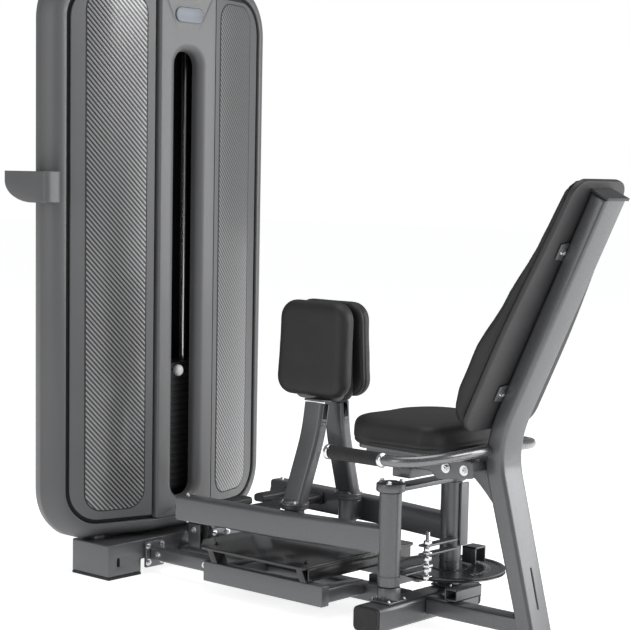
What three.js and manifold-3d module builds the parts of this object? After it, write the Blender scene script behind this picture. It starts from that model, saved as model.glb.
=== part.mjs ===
// Hip machine with a weight stack: a seat with a reclined back, two levers that swing apart on
// upright pivots beneath the seat, a thigh pad on each lever, and a covered weight stack in a tower.
// Millimetres, +Z up. +Y runs from the seat towards the tower, +X is the sitting person's right.
// While it is built, X = 0 is the middle of the machine and Y = 0 is the line of the two pivots.
import * as THREE from "three";
import { mergeVertices } from "three/addons/utils/BufferGeometryUtils.js";
import Module from "manifold-3d";

const wasm = await Module();
wasm.setup();

// ---------- driving dimensions ----------
const GAP = 0.4; // clearance between two touching pieces

const TOWER = {
  frontY: 890, // flat front of the middle column
  wingDrop: 80, // how far each wing sweeps back at its outer edge
  sideDepth: 110, // depth of the side band
  columnHalf: 112,
  wingHalf: 383,
  bandHalf: 430,
  bottom: 104,
  top: 1722,
  corner: 150,
  bandFace: 47, // width of the band in the front view
  skin: 5,
};
const SLOT = { half: 46, low: 205, high: 1500, recessHalf: 66, wall: 6 };
const STACK = {
  y: 1000,
  half: 140,
  depth: 96,
  pitch: 19,
  plates: 18,
  bottom: 217,
  topPlate: 34,
  rodX: 100,
  rodR: 12,
  holeR: 13,
};
const FOOT = { height: 100, depth: 154, reach: 307, sole: 8, padLong: 124, notchTop: 44, slotX: 268 };
const PIVOT = { x: 130, shaftR: 15, postR: 29, boreR: 17, low: 106, high: 352 };
const BRIDGE = { thick: 13.2, half: 26, capR: 38, capTall: 23.2 };
const CAM = { radius: 150, thick: 12 };
const REAR_FOOT = { reach: 212, half: 40, height: 66 };
const LEVER = {
  low: 190,
  high: 260,
  width: 50,
  line: [[130, 20], [176, 306], [196, 690]], // X and Y of the right lever's middle line
};
const THIGH_POST = {
  wide: 66,
  thick: 40,
  line: [[112, 346, 276], [52, 337, 458], [40, 334, 540]],
  socketR: 27,
};
const FOOT_REST = { inner: 22, outer: 150, y: [475, 585], deep: 40, low: 222, high: 246 };
const THIGH_PAD = {
  inner: 10,
  thick: 58,
  yMiddle: 348,
  long: 240,
  low: 560,
  tall: 252,
  corner: 50,
  tilt: 2.5, // degrees that each pad leans towards the middle
};
const SEAT = { half: 196, rear: -176, shoulder: 24, nose: 148, low: 470, high: 546, corner: 50 };
const BACK = {
  foot: [-236, 530], // Y and Z of the upright's front face where it starts to lean
  head: [-512, 1128],
  seam: 16, // from the upright to the seam between shell and cushion
  lowHalf: 152,
  highHalf: 116,
  corner: 44,
  // how far the cushion stands in front of the upright, going up the back
  profile: [[0, 46], [80, 72], [190, 74], [350, 52], [500, 36], [640, 33], [684, 28]],
};
const UPRIGHT = { half: 45, deep: 50 };
const TOP_PULLEY = { z: 1536, radius: 44, groove: 38, bore: 8, width: 18 };
const LOW_PULLEY = { y: 820, z: 116 };
const SPINE = { low: 20, high: 62, half: 30 };
const CABLE_R = 3;
const GRIP = { x: 262, front: 92, rear: -74, z: 458, r: 16, tubeR: 14 };
const RAIL = { x: 189, wide: 30, rear: 150, front: 585, low: 36, high: 92 };
const LINK = { inner: 118, outer: 156, low: 40, high: 80 };
const INSERT = { inner: 148, outer: 325, low: 190, high: 1650, corner: 46, proud: 1.6 };
const NAMEPLATE = { half: 56, low: 1580, high: 1624, corner: 20 };
const TOWER_FRAME = { x: 250, half: 20, deep: 25, top: 1640, head: 50 };
const TRAY = { rear: 928, front: 1116, low: 1064, high: 1150, corner: 34, deep: 62, stand: 3, wall: 4 };
const STEP = { half: 235, rear: 200, front: 640, z: 128, thick: 8 };

// ---------- materials ----------
const paint = (color, roughness, metalness) =>
  new THREE.MeshStandardMaterial({ color, roughness, metalness });
const FRAME = () => paint(0x63646a, 0.35, 0.8);
const SHROUD = () => paint(0x4e5053, 0.55, 0.1);
const CARBON = () => paint(0x6d6f72, 0.3, 0.3);
const DARK = () => paint(0x26272a, 0.3, 0.4);
const STEEL = () => paint(0xc6c8ca, 0.2, 1.0);
const PLATE = () => paint(0x1d1e20, 0.6, 0.4);
const RUBBER = () => paint(0x1a1a1b, 0.8, 0.0);
const LEATHER = () => paint(0x323334, 0.55, 0.0);

// ---------- solids ----------
function solid(geometry) {
  const bare = geometry.index ? geometry.toNonIndexed() : geometry.clone();
  for (const key of Object.keys(bare.attributes)) if (key !== "position") bare.deleteAttribute(key);
  const merged = mergeVertices(bare, 1e-3);
  return new wasm.Manifold(
    new wasm.Mesh({
      numProp: 3,
      vertProperties: merged.attributes.position.array,
      triVerts: new Uint32Array(merged.index.array),
    }),
  );
}

function join(...parts) {
  return parts.reduce((whole, part) => whole.add(part));
}

function cut(whole, ...tools) {
  return tools.reduce((left, tool) => left.subtract(tool), whole);
}

// A box from its low and high corners.
function box([x0, y0, z0], [x1, y1, z1]) {
  const geometry = new THREE.BoxGeometry(x1 - x0, y1 - y0, z1 - z0);
  geometry.translate((x0 + x1) / 2, (y0 + y1) / 2, (z0 + z1) / 2);
  return solid(geometry);
}

// A round bar between two points.
function bar(from, to, radius, sides = 24) {
  const a = new THREE.Vector3(...from);
  const b = new THREE.Vector3(...to);
  const geometry = new THREE.CylinderGeometry(radius, radius, a.distanceTo(b), sides);
  const along = b.clone().sub(a).normalize();
  const turn = new THREE.Quaternion().setFromUnitVectors(new THREE.Vector3(0, 1, 0), along);
  geometry.applyQuaternion(turn);
  geometry.translate(...a.add(b).multiplyScalar(0.5).toArray());
  return solid(geometry);
}

function outline(points) {
  return new THREE.Shape(points.map(([x, y]) => new THREE.Vector2(x, y)));
}

// A rectangle with rounded corners, from its low and high corners.
function roundedShape(x0, y0, x1, y1, r) {
  const shape = new THREE.Shape();
  shape.moveTo(x0 + r, y0);
  shape.lineTo(x1 - r, y0).absarc(x1 - r, y0 + r, r, -Math.PI / 2, 0, false);
  shape.lineTo(x1, y1 - r).absarc(x1 - r, y1 - r, r, 0, Math.PI / 2, false);
  shape.lineTo(x0 + r, y1).absarc(x0 + r, y1 - r, r, Math.PI / 2, Math.PI, false);
  shape.lineTo(x0, y0 + r).absarc(x0 + r, y0 + r, r, Math.PI, 1.5 * Math.PI, false);
  return shape;
}

// A shape drawn in the XY plane, raised from z0 to z1.
function raise(shape, z0, z1, curveSegments = 6) {
  const geometry = new THREE.ExtrudeGeometry(shape, { depth: z1 - z0, bevelEnabled: false, curveSegments });
  return solid(geometry.translate(0, 0, z0));
}

// A shape drawn in the XZ plane, running from y0 to y1.
function alongY(shape, y0, y1, curveSegments = 6) {
  const geometry = new THREE.ExtrudeGeometry(shape, { depth: y1 - y0, bevelEnabled: false, curveSegments });
  return solid(geometry.rotateX(Math.PI / 2).translate(0, y1, 0));
}

// A shape whose first coordinate is Y and second is Z, running from x0 to x1.
function alongX(shape, x0, x1, curveSegments = 6) {
  const geometry = new THREE.ExtrudeGeometry(shape, { depth: x1 - x0, bevelEnabled: false, curveSegments });
  const turn = new THREE.Matrix4().set(0, 0, 1, 0, 1, 0, 0, 0, 0, 1, 0, 0, 0, 0, 0, 1);
  return solid(geometry.applyMatrix4(turn).translate(x0, 0, 0));
}

// A bar of a given section swept along a path made of three.js curves.
function sweep(curves, section, steps) {
  const path = new THREE.CurvePath();
  curves.forEach((curve) => path.add(curve));
  return solid(new THREE.ExtrudeGeometry(section, { steps, bevelEnabled: false, extrudePath: path }));
}

function roundSection(radius, sides = 12) {
  const corner = (_, k) => {
    const angle = (2 * Math.PI * k) / sides;
    return [radius * Math.cos(angle), radius * Math.sin(angle)];
  };
  return outline(Array.from({ length: sides }, corner));
}

// A band of even width on both sides of a line of plan points.
function widened(line, width) {
  const points = line.map(([x, y]) => new THREE.Vector2(x, y));
  const offset = (side) =>
    points.map((p, k) => {
      const before = points[Math.max(k - 1, 0)];
      const after = points[Math.min(k + 1, points.length - 1)];
      const a = p.clone().sub(before).normalize();
      const b = after.clone().sub(p).normalize();
      const along = a.add(b).normalize();
      return [p.x - (side * along.y * width) / 2, p.y + (side * along.x * width) / 2];
    });
  return outline([...offset(-1), ...offset(1).reverse()]);
}

const machine = new THREE.Group();

function add(name, shape, material) {
  const made = shape.getMesh();
  const geometry = new THREE.BufferGeometry();
  geometry.setAttribute("position", new THREE.BufferAttribute(made.vertProperties, 3));
  geometry.setIndex(new THREE.BufferAttribute(made.triVerts, 1));
  geometry.computeVertexNormals();
  const mesh = new THREE.Mesh(geometry, material);
  mesh.name = name;
  machine.add(mesh);
}

// The same piece on the right side and, mirrored, on the left.
function addPair(name, shape, material) {
  add(`${name}_right`, shape, material());
  add(`${name}_left`, shape.mirror([1, 0, 0]), material());
}

// ---------- tower ----------
const midY = TOWER.frontY + TOWER.wingDrop + TOWER.sideDepth / 2;

// The tower's plan, shrunk inwards by a distance: flat column, swept wings, bulged sides.
function towerPlan(inset) {
  const front = TOWER.frontY + inset;
  const wing = TOWER.frontY + TOWER.wingDrop + inset;
  const half = [
    [TOWER.columnHalf, front],
    [TOWER.wingHalf - inset / 3, wing],
    [TOWER.bandHalf - 12 - inset, wing + 22 - inset / 2],
    [TOWER.bandHalf - inset, midY],
  ];
  const back = half.slice(0, 3).reverse().map(([x, y]) => [x, 2 * midY - y]);
  const right = [...half, ...back];
  return outline([...right, ...right.map(([x, y]) => [-x, y]).reverse()]);
}

function towerFace(inset) {
  const half = TOWER.bandHalf - inset;
  const corner = Math.max(TOWER.corner - inset, 30);
  return roundedShape(-half, TOWER.bottom + inset, half, TOWER.top - inset, corner);
}

function towerBlock(planInset, faceInset) {
  const tall = raise(towerPlan(planInset), TOWER.bottom - 20, TOWER.top + 20);
  return tall.intersect(alongY(towerFace(faceInset), TOWER.frontY - 60, 2 * midY - TOWER.frontY + 60, 8));
}

function tower() {
  const band = cut(
    towerBlock(0, 0),
    alongY(towerFace(TOWER.bandFace), TOWER.frontY - 80, 2 * midY + 80, 8),
    box([-275, midY - 62, 50], [275, midY + 62, 200]),
  );
  const right = box([GAP / 2, 0, 0], [600, 2000, 2000]);
  addPair("side_band", band.intersect(right), SHROUD);

  const wall = cut(towerBlock(2, TOWER.bandFace + GAP), towerBlock(2 + TOWER.skin, 0));
  const front = wall.intersect(box([TOWER.columnHalf + 3, 0, 0], [600, midY - 20, 2000]));
  const { inner, outer, low, high, corner, proud } = INSERT;
  const blank = alongY(roundedShape(inner, low, outer, high, corner), TOWER.frontY - 40, midY, 5);
  const sheet = cut(towerBlock(-proud, TOWER.bandFace), towerBlock(proud, 0));
  const frontOnly = box([100, 0, 0], [600, midY - 20, 2000]);
  addPair("front_cover", front, SHROUD);
  addPair("panel_insert", sheet.intersect(blank).intersect(frontOnly), CARBON);
  add("rear_cover", wall.intersect(box([-600, midY + 20, 0], [600, 2000, 2000])), SHROUD());
}

function middleColumn() {
  const half = TOWER.columnHalf - 1;
  const front = TOWER.frontY - 6;
  const low = TOWER.bottom + TOWER.bandFace + 2;
  const high = TOWER.top - TOWER.bandFace - 2;
  const body = box([-half, front, low], [half, front + 64, high]);
  const hollow = box([-half + SLOT.wall, front + 14, low - 1], [half - SLOT.wall, front + 80, high + 1]);
  const slot = alongY(roundedShape(-SLOT.half, SLOT.low, SLOT.half, SLOT.high, 40), front - 5, front + 30);
  const scoop = alongY(
    roundedShape(-SLOT.recessHalf, SLOT.low - 14, SLOT.recessHalf, SLOT.high + 22, 56),
    front - 5,
    front + 5,
  );
  add("middle_column", cut(body, hollow, slot, scoop), SHROUD());
  const { half: plateHalf, low: plateLow, high: plateHigh, corner } = NAMEPLATE;
  const plate = roundedShape(-plateHalf, plateLow, plateHalf, plateHigh, corner);
  add("front_plate", alongY(plate, front - 4, front - GAP, 5), STEEL());
}

function towerFrame() {
  const { x, half, deep, top, head } = TOWER_FRAME;
  const post = (side) =>
    box([side * x - half, STACK.y - deep, FOOT.height + GAP], [side * x + half, STACK.y + deep, top]);
  const lintel = box([-x - half, STACK.y - deep, top - head], [x + half, STACK.y + deep, top]);
  const saddle = box([-14, STACK.y - 60, top - head - 2], [14, STACK.y + 60, top - head + 1]);
  const holes = [-1, 1].map((side) =>
    bar([side * STACK.rodX, STACK.y, top - 60], [side * STACK.rodX, STACK.y, top - 20], STACK.rodR + GAP),
  );
  add("tower_frame", cut(join(post(-1), post(1), lintel), saddle, ...holes), FRAME());
  const rod = bar(
    [STACK.rodX, STACK.y, FOOT.height + 10],
    [STACK.rodX, STACK.y, top - 20 - GAP],
    STACK.rodR,
    16,
  );
  addPair("guide_rod", rod, STEEL);
}

function weightStack() {
  const { y, half, depth, pitch, plates, bottom, topPlate } = STACK;
  const high = bottom + plates * pitch;
  const front = y - depth / 2;
  const holes = (z0, z1) => [
    bar([STACK.rodX, y, z0 - 5], [STACK.rodX, y, z1 + 5], STACK.holeR, 16),
    bar([-STACK.rodX, y, z0 - 5], [-STACK.rodX, y, z1 + 5], STACK.holeR, 16),
    bar([0, y, z0 - 5], [0, y, z1 + 5], 14, 16),
  ];
  const pinHole = (z) => box([-6, front - 5, z - 5], [6, y, z + 5]);

  let resting = box([-half, front, bottom], [half, front + depth, high - GAP]);
  for (let plate = 0; plate < plates; plate += 1) {
    const z = bottom + plate * pitch;
    const groove = cut(
      box([-half - 5, front - 5, z - 1], [half + 5, front + depth + 5, z + 1]),
      box([-half + 3, front + 3, z - 2], [half - 3, front + depth - 3, z + 2]),
    );
    resting = cut(resting, groove, pinHole(z + pitch / 2));
  }
  add("resting_plates", cut(resting, ...holes(bottom, high)), PLATE());
  const cap = box([-half, front, high], [half, front + depth, high + topPlate]);
  const pinZ = high + topPlate / 2;
  add("top_weight", cut(cap, ...holes(high, high + topPlate), pinHole(pinZ)), PLATE());
  const rod = bar([0, y, bottom + 20], [0, y, high + topPlate + 40], 13, 16);
  add("selector_rod", cut(rod, box([-5.4, y - 20, pinZ - 4.5], [5.4, y + 20, pinZ + 4.5])), STEEL());
  const pin = join(
    box([-5, front - 26, pinZ - 4], [5, y - 1, pinZ + 4]),
    bar([0, front - 46, pinZ], [0, front - 24, pinZ], 17, 20),
  );
  add("selector_pin", pin, DARK());
  const buffer = box([-half + 10, y - 36, 150], [half - 10, y + 36, bottom - GAP]);
  add("stack_buffer", cut(buffer, ...holes(150, bottom)), RUBBER());
  const cable = bar([0, y, high + topPlate + 40 + GAP], [0, y, TOP_PULLEY.z], CABLE_R, 10);
  add("lift_cable", cable, STEEL());
}

// A grooved wheel whose axle lies along X.
function pulleyWheel(y, z) {
  const { radius, groove, bore, width } = TOP_PULLEY;
  const profile = [[bore, -width / 2], [radius, -width / 2], [groove, -2], [groove, 2], [radius, width / 2],
    [bore, width / 2], [bore, -width / 2]];
  const wheel = new THREE.LatheGeometry(profile.map(([a, b]) => new THREE.Vector2(a, b)), 28);
  return solid(wheel.rotateZ(Math.PI / 2).translate(0, y, z));
}

// Two ears, an axle between them and a strap that closes their tops or bottoms.
function pulleyFork(y, z, strapLow, strapHigh) {
  const low = Math.min(strapLow, z - 16);
  const high = Math.max(strapHigh, z + 16);
  const ears = [-1, 1].map((s) => box([s * 20 - 3, y - 24, low], [s * 20 + 3, y + 24, high]));
  const axle = bar([-20, y, z], [20, y, z], TOP_PULLEY.bore - 0.5, 16);
  return join(axle, ...ears, box([-23, y - 24, strapLow], [23, y + 24, strapHigh]));
}

function pulleys() {
  const { z, radius } = TOP_PULLEY;
  const topY = STACK.y + TOP_PULLEY.groove + CABLE_R + GAP;
  add("top_pulley", pulleyWheel(topY, z), DARK());
  add("top_pulley_fork", pulleyFork(topY, z, z + radius + 4, z + radius + 10), FRAME());
  add("low_pulley", pulleyWheel(LOW_PULLEY.y, LOW_PULLEY.z), DARK());
}

function accessoryTray() {
  const side = TOWER.bandHalf + GAP;
  const { rear, front, low, high, corner, deep, stand, wall } = TRAY;
  const outer = alongX(roundedShape(rear, low, front, high, corner), -side - deep, -side - stand, 5);
  const pocket = roundedShape(rear + wall, low + wall, front - wall, high + 70, corner - wall);
  const aboveFloor = box([-side - deep, rear, low + 6], [-side, front, high + 50]);
  const hollow = alongX(pocket, -side - deep + wall, -side - stand - 5, 5).intersect(aboveFloor);
  const plate = box([-side - stand - 1, 1000, low + 16], [-side, 1050, high - 10]);
  add("accessory_tray", join(cut(outer, hollow), plate), SHROUD());
}

// ---------- floor frame ----------
function floorFrame() {
  const front = TOWER.frontY - 15;
  const back = front + FOOT.depth;
  const inner = FOOT.reach - FOOT.padLong - 2;
  const beam = box([-FOOT.reach, front, FOOT.sole], [FOOT.reach, back, FOOT.height]);
  const notch = box([-inner, front - 5, -5], [inner, back + 5, FOOT.notchTop]);
  const guideSeats = [-1, 1].map((side) =>
    bar([side * STACK.rodX, STACK.y, 60], [side * STACK.rodX, STACK.y, 120], STACK.rodR + 8),
  );
  const slots = [-1, 1].map((side) =>
    alongY(roundedShape(side * FOOT.slotX - 5, 34, side * FOOT.slotX + 5, 56, 4.9), front - 5, front + 6, 3),
  );
  add("front_foot_beam", cut(beam, notch, ...slots, ...guideSeats), FRAME());
  const pads = box([-FOOT.reach, front - 2, 0], [-FOOT.reach + FOOT.padLong, back, FOOT.sole - GAP]);
  addPair("foot_pad", pads.mirror([1, 0, 0]), RUBBER);

  const spine = box([-SPINE.half, REAR_FOOT.half + GAP, SPINE.low], [SPINE.half, front - GAP, SPINE.high]);
  const fork = pulleyFork(LOW_PULLEY.y, LOW_PULLEY.z, SPINE.high - 1, SPINE.high + 4);
  add("spine_tube", join(spine, fork), FRAME());
  const rail = box([RAIL.x, RAIL.rear, RAIL.low], [RAIL.x + RAIL.wide, RAIL.front, RAIL.high]);
  const tie = (y) => box([SPINE.half + GAP, y, LINK.low], [RAIL.x + 1, y + 40, LINK.high]);
  addPair("step_rail", join(rail, tie(RAIL.rear + 10), tie(RAIL.front - 65)), FRAME);
  const link = box([LINK.inner, RAIL.front + GAP, LINK.low], [LINK.outer, front - GAP, LINK.high]);
  addPair("front_link", link, FRAME);
}

function stepPlate() {
  const { half, rear, front, z, thick } = STEP;
  const plan = outline([
    [-half, rear], [half, rear], [half, front - 60], [half - 70, front],
    [70 - half, front], [-half, front - 60],
  ]);
  const leg = (y, lean) =>
    alongX(
      outline([
        [y, RAIL.high + GAP], [y + RAIL.wide, RAIL.high + GAP],
        [y + lean + RAIL.wide, z + 1], [y + lean, z + 1],
      ]),
      RAIL.x + 3,
      RAIL.x + RAIL.wide - 3,
    );
  const right = join(leg(215, -14), leg(520, 20));
  add("step_plate", join(raise(plan, z, z + thick), right, right.mirror([1, 0, 0])), DARK());
}

function rearFoot() {
  const { reach, half, height } = REAR_FOOT;
  const section = roundedShape(-half, 0, half, height, 10);
  add("rear_foot", alongX(section, -reach, reach, 3), FRAME());
  const cap = alongX(section, reach + GAP, reach + 12, 3);
  addPair("rear_foot_cap", cap, RUBBER);
}

// ---------- pivots and levers ----------
function pivots() {
  const { x, shaftR, postR, low, high } = PIVOT;
  const collar = bar([x, 0, REAR_FOOT.height + GAP], [x, 0, low - GAP], postR + 2, 32);
  const shaftLow = REAR_FOOT.height + GAP;
  const shaft = bar([x, 0, shaftLow], [x, 0, high + GAP], shaftR, 24);
  addPair("pivot_shaft", join(shaft, collar), STEEL);
  const under = high + 2 * GAP;
  const plate = box([-x - 20, -BRIDGE.half, under], [x + 20, BRIDGE.half, under + BRIDGE.thick]);
  const caps = [-1, 1].map((side) =>
    bar([side * x, 0, under], [side * x, 0, under + BRIDGE.capTall], BRIDGE.capR, 32),
  );
  add("pivot_bridge", join(plate, ...caps), FRAME());
}

function levers() {
  const { x, boreR, postR, low, high } = PIVOT;
  const bore = bar([x, 0, low - 10], [x, 0, high + 10], boreR, 24);
  const hub = bar([x, 0, low], [x, 0, high], postR, 32);
  const beam = raise(widened(LEVER.line, LEVER.width), LEVER.low, LEVER.high);
  const [socketX, socketY, socketTop] = THIGH_POST.line[0];
  const socket = join(
    bar([socketX, socketY, LEVER.low + 6], [socketX, socketY, socketTop - 8 - GAP], THIGH_POST.socketR, 24),
    box([socketX, socketY - 20, LEVER.low + 10], [socketX + 60, socketY + 20, LEVER.high - 6]),
  );
  const blank = join(hub, beam, socket);
  const [bend, end] = LEVER.line.slice(1);
  const run = Math.hypot(end[0] - bend[0], end[1] - bend[1]);
  const ahead = [(end[0] - bend[0]) / run, (end[1] - bend[1]) / run];
  const middleZ = (LEVER.low + LEVER.high) / 2;
  const beyond = (d) => [end[0] + ahead[0] * d, end[1] + ahead[1] * d, middleZ];
  const cam = bar([x, 0, low], [x, 0, low + CAM.thick], CAM.radius, 48);
  const left = cut(blank, bore);
  add("lever_left", left.mirror([1, 0, 0]), FRAME());
  const right = cut(join(blank, cam), bore);
  add("lever_right", right, FRAME());
  const bumper = bar(beyond(GAP), beyond(14), 21, 24);
  addPair("lever_bumper", bumper, RUBBER);

  const [a, b, c] = THIGH_POST.line;
  const deep = THIGH_POST.wide / 2;
  const thick = THIGH_POST.thick;
  const side = outline([
    [a[0] - thick / 2, a[2]], [a[0] + thick / 2, a[2]], [b[0] + thick / 2, b[2]],
    [c[0] + thick / 2 - 6, c[2]], [c[0] - thick / 2 + 2, c[2]], [b[0] - thick / 2 - 2, b[2]],
  ]);
  const post = alongY(side, b[1] - deep, b[1] + deep);
  const foot = bar([a[0], a[1], a[2] - 8], [a[0], a[1], a[2]], 40, 28);
  addPair("thigh_post", join(post, foot), FRAME);
  const { inner, outer, y: restY, deep: restDeep, low: restLow, high: restHigh } = FOOT_REST;
  const bars = restY.map((y) => box([inner, y, restLow], [outer, y + restDeep, restHigh]));
  const flange = box([outer - 4, restY[0], restLow - 6], [outer + 7, restY[1] + restDeep, restHigh + 4]);
  addPair("foot_rest", join(...bars, flange), DARK);
}

function thighPads() {
  const { inner, thick, yMiddle, long, low, tall, corner, tilt } = THIGH_PAD;
  const middle = low + tall / 2;
  const leaned = (piece) =>
    piece.translate([-inner, 0, -middle]).rotate([0, -tilt, 0]).translate([inner, 0, middle]);
  const face = roundedShape(yMiddle - long / 2, low, yMiddle + long / 2, low + tall, corner);
  addPair("thigh_pad", leaned(alongX(face, inner + 4 + GAP, inner + thick, 5)), LEATHER);
  const board = roundedShape(yMiddle - 90, low - 14, yMiddle + 90, low + tall - 24, 30);
  const plate = alongX(board, inner, inner + 4, 4);
  const tab = box([inner, yMiddle - 46, low - 14], [THIGH_POST.line[2][0] + 10, yMiddle + 18, low - 10]);
  addPair("pad_plate", leaned(join(plate, tab)), FRAME);
}

// ---------- seat ----------
function seat() {
  const { half, rear, shoulder, nose, low, high, corner } = SEAT;
  const plan = new THREE.Shape();
  plan.moveTo(-half + corner, rear);
  plan.lineTo(half - corner, rear).absarc(half - corner, rear + corner, corner, -Math.PI / 2, 0, false);
  plan.lineTo(half, shoulder);
  plan.bezierCurveTo(half, shoulder + 76, half - 60, nose, half - 130, nose);
  plan.lineTo(130 - half, nose);
  plan.bezierCurveTo(60 - half, nose, -half, shoulder + 76, -half, shoulder);
  plan.lineTo(-half, rear + corner).absarc(-half + corner, rear + corner, corner, Math.PI, 1.5 * Math.PI, false);
  add("seat_cushion", raise(plan, low, high, 8), LEATHER());
  const board = raise(roundedShape(-150, rear + 24, 150, nose - 40, 30), low - 12, low - GAP, 4);
  const beamTop = low - 12 + 1;
  const beams = [-1, 1].map((s) => box([s * 70 - 20, rear + 20, 412], [s * 70 + 20, 120, beamTop]));
  const cross = box([-90, -30, 384], [90, 30, 413]);
  const tail = join(
    box([-44, -216, 420], [44, rear + 30, 452]),
    box([-88, rear + 4, 420], [88, rear + 34, 452]),
  );
  add("seat_frame", join(board, ...beams, cross, tail), FRAME());
}

const backLean = Math.atan2(BACK.foot[0] - BACK.head[0], BACK.head[1] - BACK.foot[1]);

// A point measured up the back from its foot and forward from the upright's front face.
function onBack(up, forward) {
  const s = Math.sin(backLean);
  const c = Math.cos(backLean);
  return [BACK.foot[0] - up * s + forward * c, BACK.foot[1] + up * c + forward * s];
}

function upright() {
  const { half, deep } = UPRIGHT;
  const long = Math.hypot(BACK.head[0] - BACK.foot[0], BACK.head[1] - BACK.foot[1]);
  const side = outline([
    [-350, 0], [-226, 440], onBack(0, 0), onBack(long, 0), onBack(long, -deep), onBack(20, -deep),
    [-276, 470], [-398, 0],
  ]);
  const base = box([-70, -420, 0], [70, -330, 10]);
  add("rear_upright", join(alongX(side, -half, half), base), FRAME());
  const cap = outline([
    onBack(long + GAP, 0), onBack(long + 7, 0), onBack(long + 7, -deep), onBack(long + GAP, -deep),
  ]);
  add("upright_cap", alongX(cap, -half, half), RUBBER());
  const spineRear = alongX(outline([[-REAR_FOOT.half - GAP, 20], [-REAR_FOOT.half - GAP, 62], [-330, 62],
    [-342, 20]]), -28, 28);
  add("rear_spine_tube", spineRear, FRAME());
}

function back() {
  const { seam, lowHalf, highHalf, corner, profile } = BACK;
  const low = profile[0][0];
  const high = profile[profile.length - 1][0];
  const front = new THREE.Shape();
  front.moveTo(-lowHalf + corner, low);
  front.lineTo(lowHalf - corner, low).absarc(lowHalf - corner, low + corner, corner, -Math.PI / 2, 0, false);
  front.lineTo(lowHalf, 330).lineTo(highHalf, high - corner);
  front.absarc(highHalf - corner, high - corner, corner, 0, Math.PI / 2, false);
  front.lineTo(corner - highHalf, high);
  front.absarc(corner - highHalf, high - corner, corner, Math.PI / 2, Math.PI, false);
  front.lineTo(-lowHalf, 330).lineTo(-lowHalf, low + corner);
  front.absarc(corner - lowHalf, low + corner, corner, Math.PI, 1.5 * Math.PI, false);
  // Drawn flat with its length along +Y, then tipped up onto the leaning upright.
  const flat = new THREE.ExtrudeGeometry(front, { depth: 140, bevelEnabled: false, curveSegments: 5 });
  const s = Math.sin(backLean);
  const c = Math.cos(backLean);
  const [footY, footZ] = BACK.foot;
  const place = new THREE.Matrix4().set(
    -1, 0, 0, 0,
    0, -s, c, footY - 20 * c,
    0, c, s, footZ - 20 * s,
    0, 0, 0, 1,
  );
  const prism = solid(flat.applyMatrix4(place));
  const slab = (points) => alongX(outline(points), -lowHalf - 10, lowHalf + 10).intersect(prism);
  const crown = profile.map(([up, out]) => onBack(up, out));
  add("back_cushion", slab([onBack(low, seam), ...crown, onBack(high, seam)]), LEATHER());
  const shell = [onBack(low, GAP), onBack(low, seam - GAP), onBack(high, seam - GAP), onBack(high, GAP)];
  add("back_shell", slab(shell), DARK());
}

function handles() {
  const { x, front, rear, z, r, tubeR } = GRIP;
  const at = (px, py, pz) => new THREE.Vector3(px, py, pz);
  const turn = at(x, rear - 24, z);
  const end = at(UPRIGHT.half + GAP, -238, z + 20);
  const tube = sweep(
    [
      new THREE.LineCurve3(at(x, front + 8, z), turn),
      new THREE.CubicBezierCurve3(turn, at(x, rear - 120, z), at(150, -238, z + 20), end),
    ],
    roundSection(tubeR, 10),
    28,
  );
  const sleeve = bar([x, rear, z], [x, front, z], r + 3, 20);
  const bore = bar([x, rear - 60, z], [x, front + 60, z], tubeR + 1.2, 20);
  addPair("handle_tube", tube, STEEL);
  addPair("handle_grip", cut(sleeve, bore), RUBBER);
}

tower();
middleColumn();
towerFrame();
weightStack();
pulleys();
accessoryTray();
floorFrame();
stepPlate();
rearFoot();
pivots();
levers();
thighPads();
seat();
upright();
back();
handles();

// The origin is the middle of the machine's footprint box, on the floor.
const whole = new THREE.Box3().setFromObject(machine);
machine.position.set(-(whole.min.x + whole.max.x) / 2, -(whole.min.y + whole.max.y) / 2, -whole.min.z);

export default machine;
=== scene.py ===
import math

import bmesh
import bpy
from mathutils import Matrix, Vector


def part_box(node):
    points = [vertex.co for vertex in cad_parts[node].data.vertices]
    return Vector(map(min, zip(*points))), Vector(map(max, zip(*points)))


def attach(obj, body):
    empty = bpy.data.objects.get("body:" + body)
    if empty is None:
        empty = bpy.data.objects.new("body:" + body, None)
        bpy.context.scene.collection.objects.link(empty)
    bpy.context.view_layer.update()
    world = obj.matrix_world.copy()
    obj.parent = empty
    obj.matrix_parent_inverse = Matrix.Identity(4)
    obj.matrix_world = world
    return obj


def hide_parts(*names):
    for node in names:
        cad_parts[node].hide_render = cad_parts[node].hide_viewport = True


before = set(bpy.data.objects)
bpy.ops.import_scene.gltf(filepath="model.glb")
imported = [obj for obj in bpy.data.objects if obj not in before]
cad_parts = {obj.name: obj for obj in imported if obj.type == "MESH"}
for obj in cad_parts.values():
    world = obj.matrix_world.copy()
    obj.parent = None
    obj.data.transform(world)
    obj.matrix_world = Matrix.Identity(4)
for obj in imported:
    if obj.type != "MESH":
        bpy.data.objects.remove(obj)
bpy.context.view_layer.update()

scene = bpy.context.scene


def centre_of(node):
    low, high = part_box(node)
    return (low + high) / 2


MIDDLE = (centre_of("pivot_shaft_left") + centre_of("pivot_shaft_right")) / 2
PIVOT_X = centre_of("pivot_shaft_right").x - MIDDLE.x


def at(x, y, z):
    """A place measured from the middle plane, the pivot line and the floor."""
    return Vector((MIDDLE.x + x, MIDDLE.y + y, z))


CAMERA_PLACE = at(-3.585, -2.765, 1.15)
YAW, PITCH, ROLL = math.radians(48.84), math.radians(6.4), math.radians(-1.1)

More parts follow.
